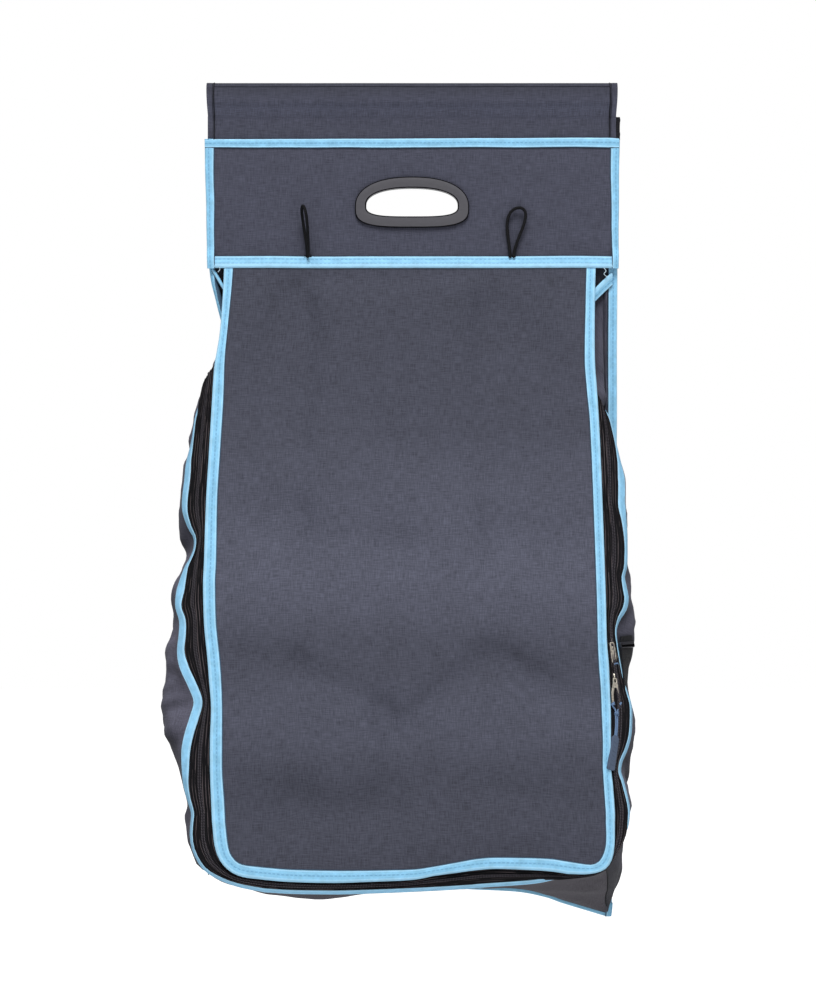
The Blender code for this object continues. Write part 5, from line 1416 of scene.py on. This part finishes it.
def follow_top_tape(grid, tape, reach=9):
    """Let the first rows of a gusset end at its top tape's lip."""
    pixels, depths, _ = tape
    line = smooth_line(pixels)
    lip = on_plane(line, np.interp(np.linspace(0, 1, len(line)), np.linspace(0, 1, len(depths)), depths))
    lip = lip[np.argsort(lip[:, 0])]
    top = np.interp(grid[0, :, 0], lip[:, 0], lip[:, 2]) - 0.0012 - grid[0, :, 2]
    for row in range(reach):
        grid[row, :, 2] += top * (1 - row / reach)


def make_gussets():
    inner, outer, behind = gusset_edge_lines()
    make_zip(inner, outer, behind)
    grid, seam = gusset_grid(inner, outer)
    grid = gusset_folds(grid)
    follow_top_tape(grid, TOP_TAPE_LEFT)
    follow_top_tape(grid[::-1], TOP_TAPE_RIGHT)
    row = CENTRE_PY - (seam[:, 2] - CAMERA_Z) / PIXEL
    margin = by_station(0.0072, 0.0004, np.interp(row, (800, 860, 890), (0.0072, 0.0016, 0.0002)))[:, None]
    flange = seam + unit(seam - (0.0, 0.0, -0.46)) * margin
    flange[:, 1] = SEAM_Y
    share = station_share()[:, None]
    flange = flange * (1 - share) + (seam - (0.0, 0.0, 0.0008)) * share
    full = np.concatenate((grid, flange[:, None]), 1)
    for word, rows, material, toward in (("left", slice(0, MID_LEFT + 1), CANVAS_SHADE, (-1, 0, 0)),
                                         ("bottom", slice(MID_LEFT, MID_RIGHT + 1), CANVAS_UNDER, (0, 0, -1)),
                                         ("right", slice(MID_RIGHT, STATIONS), CANVAS_SHADE, (1, 0, 0))):
        part = full[rows]
        made = cloth_sheet("gusset_cloth_" + word, part, CLOTH, toward)
        place(made, "organizer", "dark_cloth", material, "gusset_" + word)

    seams = []
    for station in (MID_LEFT, MID_RIGHT):
        line = grid[station, 2:-1]
        out = unit(line - (0.0, -0.03, -0.6)) * 0.0007
        seams.append(tube("seam", by_length(line + out, 60)[:56], 0.0008, 8))
    place(joined("gusset_corner_seams", seams), "organizer", "dark_cloth", THREAD)

    front = facing(unit(np.cross(np.gradient(outer, axis=0), outer - inner)), FLAP_NORMAL)
    start = np.argmax(GUSSET_EDGE[:, 1] > 300)
    rows = slice(start, STATIONS - start)
    binding = ribbon("gusset_tape", inner[rows], outer[rows], front[rows],
                     spread=1 - 0.12 * hidden_share()[rows], form=PLAIN_FORM)
    place(binding, "organizer", "blue_binding", GUSSET_TAPE, "gusset_binding")


def make_top_bindings():
    """Tape over the gussets' top edges, from the back to where the flap hides it."""
    for word, (pixels, depths, drop) in (("left", TOP_TAPE_LEFT), ("right", TOP_TAPE_RIGHT)):
        lip = smooth_line(np.column_stack((pixels, depths)))
        lip = by_length(lip * (1, 1, 1000), 30) * (1, 1, 0.001)
        made = ribbon("gusset_top_tape_" + word, on_plane(lip[:, :2] + drop, lip[:, 2] + 0.0012),
                      on_plane(lip[:, :2], lip[:, 2]), (0, -1, 0.2))
        place(made, "organizer", "blue_binding", BLUE_TAPE, "gusset_top_binding_" + word)


# Sliders and pulls

ZIP_AXES = (SLIDER_ACROSS, SLIDER_UP)


def lean_axes(tilt):
    """The zip's axes, turned by a small angle in its own plane."""
    c, s = math.cos(tilt), math.sin(tilt)
    return SLIDER_ACROSS * c + SLIDER_UP * s, SLIDER_UP * c - SLIDER_ACROSS * s


def beside(spot, axes, across, up, out):
    """A place this many millimetres across, up and out from a spot."""
    return spot + (axes[0] * across + axes[1] * up + SLIDER_OUT * out) * MM


def wound(spot, axes, turns, start, drop, wide, deep, radius, count):
    """A cord wound round the upward axis, in millimetres but for its radius."""
    points = []
    for share in np.linspace(0, 1, count):
        turn = 2 * math.pi * turns * share
        points.append(beside(spot, axes, wide * math.cos(turn), start - drop * share, deep * math.sin(turn)))
    return tube("knot", points, radius, 8)


def make_slider(word, middle):
    """Two shield-shaped plates with turned-in flanges, a wedge between them and a bail on top."""
    shield = both_sides(1.3, (2.6, -5.6), (3.4, -3.0), (4.1, 1.2), (4.1, 4.0), (2.4, 5.6))
    pieces = [plate("shield", shield, low, low + 1.0, 0.35, segments=3) for low in (0.5, -3.8)]
    pieces.append(plate("wedge", both_sides(0.3, (1.3, 5.2), (0.4, 1.0)), -3.0, 0.8, 0.1))
    for side in (-1, 1):
        flange = rounded([(side * x, y) for x, y in ((3.0, -5.0), (3.6, -5.0), (4.2, 3.0), (3.6, 3.0))], 0.2)
        pieces.append(plate("flange", flange, -0.6, 1.0, 0.15))
    turn = np.linspace(0, math.pi, 17)
    arch = places(0.0, 0.0038 * np.cos(turn), 0.0012 + 0.0030 * np.sin(turn) ** 0.7)
    bail = tube("bail", arch, 0.00062, 10)
    for vert in bail.data.vertices:
        vert.co.x *= 1.35
    made = joined("slider_" + word, pieces + [bail])
    into_place(made, middle, SLIDER_ACROSS, SLIDER_UP, SLIDER_OUT)
    place(made, "slider_" + word, "plated_metal", METAL, "zip_slider_" + word)


def make_upper_puller(pivot):
    """A tapered plate with a round eye over the bail and a slot for the cord at its end."""
    axes = lean_axes(math.radians(13))
    outline = both_sides(1.6, (2.7, 1.2), (3.2, -5.0), (4.1, -17.5), (3.4, -20.6))
    slot = both_sides(0.5, (1.8, -17.8), (1.8, -19.1))
    body = plate("body", outline, -0.65, 0.65, 0.28, [circle(0, -1.4, 1.25, stretch=1.4), slot], 3)
    panel = plate("panel", both_sides(0.9, (2.0, -6.2), (2.8, -16.0)), 0.55, 0.88, 0.14)
    made = joined("puller_plate_upper", [body, panel])
    into_place(made, pivot, *axes, SLIDER_OUT)
    place(made, "puller_upper", "plated_metal", METAL, "zip_puller_upper")

    bar = beside(pivot, axes, 0, -19.7, 0)
    points = []
    for k in range(25):
        turn = -0.35 + (2 * math.pi + 0.7) * k / 24
        drop = 1.58 if abs(math.sin(turn / 2)) > 0.8 else 0.3
        across = 1.6 * math.sin(turn) + 0.8 * (k / 24 - 0.5)
        points.append(beside(bar, axes, across, -drop, 1.6 * math.cos(turn)))
    cords = [tube("wrap", by_length(smooth_line(points, 3), 60), 0.00075, 8)]
    for side in (-1, 1):
        line = smooth_line([beside(bar, axes, side * across, up, out)
                            for across, up, out in ((1.5, 0, 1.1), (3.1, -2.0, 0.5), (4.2, -4.2, 0))])
        cords.append(tube("strand", by_length(line, 16), 0.0007, 8))
    place(joined("pull_cord_knot_upper", cords), "pull_upper", "pull_cord", PULL_BRAID, "pull_cord_upper")


def make_lower_pull(pivot):
    """A U-shaped puller, a cord through both of its eyes, its knots, and the moulded tab."""
    axes = lean_axes(math.radians(4))
    fork = both_sides(0.8, (2.4, 1.3), (3.0, -4.5), (5.6, -13.0), (5.7, -22.2), (4.9, -23.7), (3.5, -23.7),
                      (3.3, -14.0), (1.3, -8.0))
    pieces = [plate("prongs", fork, -0.65, 0.65, 0.25, [circle(0, -1.4, 1.2, stretch=1.4)], 3)]
    for x in (-4.5, 4.5):
        eye = circle(x, -22.6, 0.7, 12)
        pieces.append(plate("tip", circle(x, -22.6, 1.7, 18), -0.75, 0.75, 0.2, [eye]))
    made = joined("puller_fork_lower", pieces)
    into_place(made, pivot, *axes, SLIDER_OUT)
    place(made, "puller_lower", "plated_metal", METAL, "zip_puller_lower")

    end = beside(pivot, axes, 0, -22.6, 0)
    meet = beside(end, ZIP_AXES, 0, -10.5, 0)
    tab_top = beside(pivot, ZIP_AXES, -0.4, -TAB_DROP, 0)
    strands, knots = [], []
    for side in (-1, 1):
        eye = beside(end, axes, side * 4.5, 0, 0)
        line = smooth_line([beside(eye, axes, 0, 0, 1.6), beside(eye, axes, 0, -1.2, 1.5),
                            beside(eye, axes, side * 0.6, -2.8, 0),
                            beside(meet, ZIP_AXES, side * 1.4, 3.0, 0),
                            beside(meet, ZIP_AXES, side * 1.1, -3.0, 0),
                            beside((meet + tab_top) / 2, ZIP_AXES, side * 0.9 + 0.2, 0, 0.6),
                            beside(tab_top, ZIP_AXES, side * 0.9, -2.0, 0)])
        strands.append(tube("strand", by_length(line, 70), 0.00085, 10))
        knots.append(wound(eye, axes, 1.6, -0.6, 1.6, 1.3, 1.3, 0.00075, 40))
    knots.append(wound(meet, ZIP_AXES, 2.2, 1.2, 3.0, 2.0, 1.4, 0.0007, 50))
    cord = joined("pull_cord_lower_with_knots", strands + knots)
    place(cord, "pull_lower", "pull_cord", PULL_BRAID, "pull_cord_lower")

    pieces = [plate("body", both_sides(1.6, (4.2, 0), (4.2, -32.5), steps=6), -1.6, 1.3, 0.6, segments=3)]
    rail = rounded([(-4.0, -1.2), (-2.6, -1.2), (-2.6, -31.3), (-4.0, -31.3)], 0.5)
    pieces.append(plate("rail", rail, 0.8, 1.8, 0.3))
    rib = np.array(((-1.9, 0), (0.8, -1.6), (3.5, 0), (3.5, -1.1), (0.8, -2.8), (-1.9, -1.1)))
    for k in range(6):
        pieces.append(plate("rib", (rib - (0, 3.8 + 4.4 * k)) * MM, 0.8, 1.65, 0.22))
    pieces.append(plate("collar", both_sides(0.6, (2.4, 1.6), (3.0, -1.4)), -1.3, 1.2, 0.4))
    tab = joined("rubber_pull_tab", pieces)
    into_place(tab, tab_top, *lean_axes(-TAB_LEAN), SLIDER_OUT)
    place(tab, "pull_lower", "pull_tab", RUBBER, "pull_tab")


def make_pulls():
    upper = SLIDER_MIDDLE + UPPER_SHIFT
    lower = SLIDER_MIDDLE - SLIDER_UP * SLIDER_APART + LOWER_SHIFT
    make_slider("upper", upper)
    make_slider("lower", lower)
    hang = SLIDER_OUT * PULLER_LIFT - SLIDER_UP * PULLER_DROP
    make_upper_puller(upper + hang)
    make_lower_pull(lower + hang)


# Strap on the right gusset

def make_strap():
    """Webbing sewn to the gusset at both ends, through a slide buckle."""
    row, column, seen, depth = by_length(smooth_line(STRAP_LINE), 60).T
    middle = on_plane(np.stack((column, row), 1), depth * MM)
    side = seen * PIXEL
    back = places(side, np.sqrt(STRAP_HALF ** 2 - side ** 2), 0.0) / STRAP_HALF
    lift = facing(unit(np.cross(unit(np.gradient(middle, axis=0)), back)), (1, 0, 0))
    cross = [middle + back * (STRAP_HALF * t) + lift * (0.0003 * (1 - t * t)) for t in np.linspace(-1, 1, 9)]
    strap = cloth_sheet("strap_web", np.stack(cross, 1), 0.0014, (1, 0, 0))
    place(strap, "organizer", "webbing", WEBBING, "strap_webbing")

    k = int(len(middle) * BUCKLE_SHARE)
    x_axis, z_axis = Vector(back[k]), Vector(lift[k])
    outline = both_sides(2.2, (11.1, -3.0), (11.1, 3.0), steps=6)
    window = both_sides(1.0, (10.2, -1.6), (10.2, 1.6))
    pieces = [plate("rim", outline, -2.0, 2.2, 0.6, [window], 3)]
    pieces.append(plate("bar", both_sides(0.4, (10.8, -1.4), (10.8, 1.4)), -2.1, -0.9, 0.4))
    pieces.append(plate("top", both_sides(0.6, (9.9, 0), (9.3, 2.4)), 1.2, 3.1, 0.5))
    made = joined("slide_buckle", pieces)
    into_place(made, Vector(middle[k]), x_axis, z_axis.cross(x_axis), z_axis)
    place(made, "buckle", "buckle_plastic", BUCKLE, "strap_buckle")


# Compartments

def make_pocket(word, top, height, depth, count):
    """A cloth compartment: a bellied front and sides, a floor, dividers and a bound lip."""
    half = POCKET_HALF - 0.0006
    front = POCKET_BACK - depth + 0.0008
    rear = POCKET_BACK - 0.0006
    bend = min(0.010, depth * 0.35)
    corner = ((0.0, 2.2), (0.12, 1.0), (1.0, 0.12), (2.2, 0.0))
    left = [(-half, rear), *((-half + a * bend, front + b * bend) for a, b in corner)]
    plan = smooth_line([*left, (0.0, front), *((-x, y) for x, y in left[::-1])], 8)
    across, deep = by_length(plan, 150).T
    down = np.linspace(0, 1, 34)[:, None]
    slack = fade_in(deep, front, rear - front)
    cell = np.cos(math.pi * (across + half) / (2 * half) * count) ** 2
    belly = np.sin(math.pi * np.minimum(1, down * 1.05)) * (1 - slack)
    sag = 0.0030 * (1 - cell) * (1 - slack) * (1 - down) ** 2
    grid = places(across * (1 - 0.012 * down ** 2),
                  deep + (1 - slack) * 0.0042 * (1 - belly * (1 - 0.7 * cell)),
                  top - 0.0006 - down * (height - 0.0012) - sag)
    fold = 0.0011 * wobble(grid, 0.05, 51) * np.sin(math.pi * down)
    grid[..., 1] += np.maximum(fold, -0.0004) * (1 - slack)
    low = grid[-1]
    centre = places(low[:, 0], rear, low[:, 2])
    floor = np.stack([low * (1 - t) + centre * t for t in np.linspace(0, 1, 12)]) + (0.0, 0.0, 0.0010)
    pieces = [cloth_sheet("wall", grid), cloth_sheet("floor", floor, CLOTH, (0, 0, -1))]
    end = front + 0.0046
    y, z = np.meshgrid(np.linspace(rear, end, 8), np.linspace(top - 0.0125, top - height + 0.0018, 22))
    wave = 0.0012 * np.sin((z - top) / height * 5) * np.sin(math.pi * (y - rear) / (end - rear))
    for k in range(1, count):
        divider = places(-half + 2 * half * k / count + wave, y, z)
        pieces.append(cloth_sheet("divider", divider, CLOTH, (1, 0, 0)))
    place(joined("compartment_" + word, pieces), "organizer", "grey_cloth", CANVAS, "pocket_" + word)
    lip = grid[0][slack < 0.04]
    made = ribbon("compartment_tape_" + word, lip - (0.0, 0.0002, BINDING_WIDTH), lip + (0.0, 0.0, 0.0009))
    place(made, "organizer", "blue_binding", BLUE_TAPE, "pocket_binding_" + word)


def make_loose_threads():
    """Short pale thread ends at the flap's upper corners."""
    pieces = [tube("thread", by_length(smooth_line(on_plane(spots, -0.0075)), 24), 0.0004, 6)
              for spots in LOOSE_THREADS]
    place(joined("loose_threads", pieces), "organizer", "blue_binding", PALE_THREAD)


# Light and floor

def make_world():
    """Faint light from all round, which the camera sees as white."""
    world = bpy.data.worlds.new("studio")
    n = Nodes(world)
    n.tree.nodes.clear()
    lit = n.node("ShaderNodeBackground", {"Color": (0.97, 0.985, 1.0, 1.0), "Strength": AMBIENT}).outputs[0]
    white = n.node("ShaderNodeBackground", {"Color": (1.0, 1.0, 1.0, 1.0), "Strength": 1.0}).outputs[0]
    mixed = n.node("ShaderNodeMixShader", {0: n.seen_share("Is Transmission Ray"), 1: lit, 2: white})
    n.node("ShaderNodeOutputWorld", {"Surface": mixed.outputs[0]})
    bpy.context.scene.world = world


def make_floor():
    """A pale floor that glows to the camera, and more so far away, where it meets the white."""
    mesh = bpy.data.meshes.new("floor")
    corners = ((-1, -1), (1, -1), (1, 1), (-1, 1))
    mesh.from_pydata([(x * FLOOR_REACH, y * FLOOR_REACH, 0.0) for x, y in corners], [], [(0, 1, 2, 3)])
    made = link("floor", mesh)
    made.location = (0.0, 0.0, FLOOR_Z)
    material = bpy.data.materials.new("pale_floor")
    n = Nodes(material)
    n.set("Base Color", (0.86, 0.86, 0.86, 1.0))
    n.set("Roughness", 0.9)
    n.set("Specular IOR Level", 0.1)
    spot = n.node("ShaderNodeTexCoord").outputs["Object"]
    distance = n.node("ShaderNodeVectorMath", {0: spot}, operation="LENGTH").outputs["Value"]
    (near, low), (far, high) = FLOOR_GLOW
    level = n.node("ShaderNodeMapRange", {"Value": distance, "From Min": near, "From Max": far,
                                          "To Min": low, "To Max": high}).outputs["Result"]
    glow = n.node("ShaderNodeEmission", {"Strength": level}).outputs[0]
    dark = n.node("ShaderNodeEmission", {"Strength": 0.0}).outputs[0]
    chosen = n.node("ShaderNodeMixShader", {0: n.seen_share("Is Glossy Ray"), 1: dark, 2: glow}).outputs[0]
    both = n.node("ShaderNodeAddShader", {0: n.shader.outputs[0], 1: chosen}).outputs[0]
    n.feed(n.tree.nodes["Material Output"].inputs["Surface"], both)
    mesh.materials.append(material)


def area_light(name, location, size, power):
    data = bpy.data.lights.new(name, "AREA")
    data.shape = "SQUARE"
    data.size = size
    data.energy = power
    made = link(name, data)
    made.location = location
    made.rotation_euler = (Vector(LIGHT_TARGET) - Vector(location)).to_track_quat("-Z", "Y").to_euler()


def main():
    make_camera()
    make_loops()
    make_handle()
    make_header()
    make_sleeve()
    make_back()
    make_flap()
    make_gussets()
    make_top_bindings()
    make_strap()
    make_pulls()
    for pocket in POCKETS:
        make_pocket(*pocket)
    make_loose_threads()
    make_world()
    make_floor()
    area_light("key", (-0.1, -2.4, 3.3), 1.9, 200.0)
    area_light("fill", (1.2, -2.6, -0.2), 1.6, 8.0)
    bpy.context.scene.view_settings.view_transform = "Standard"


main()
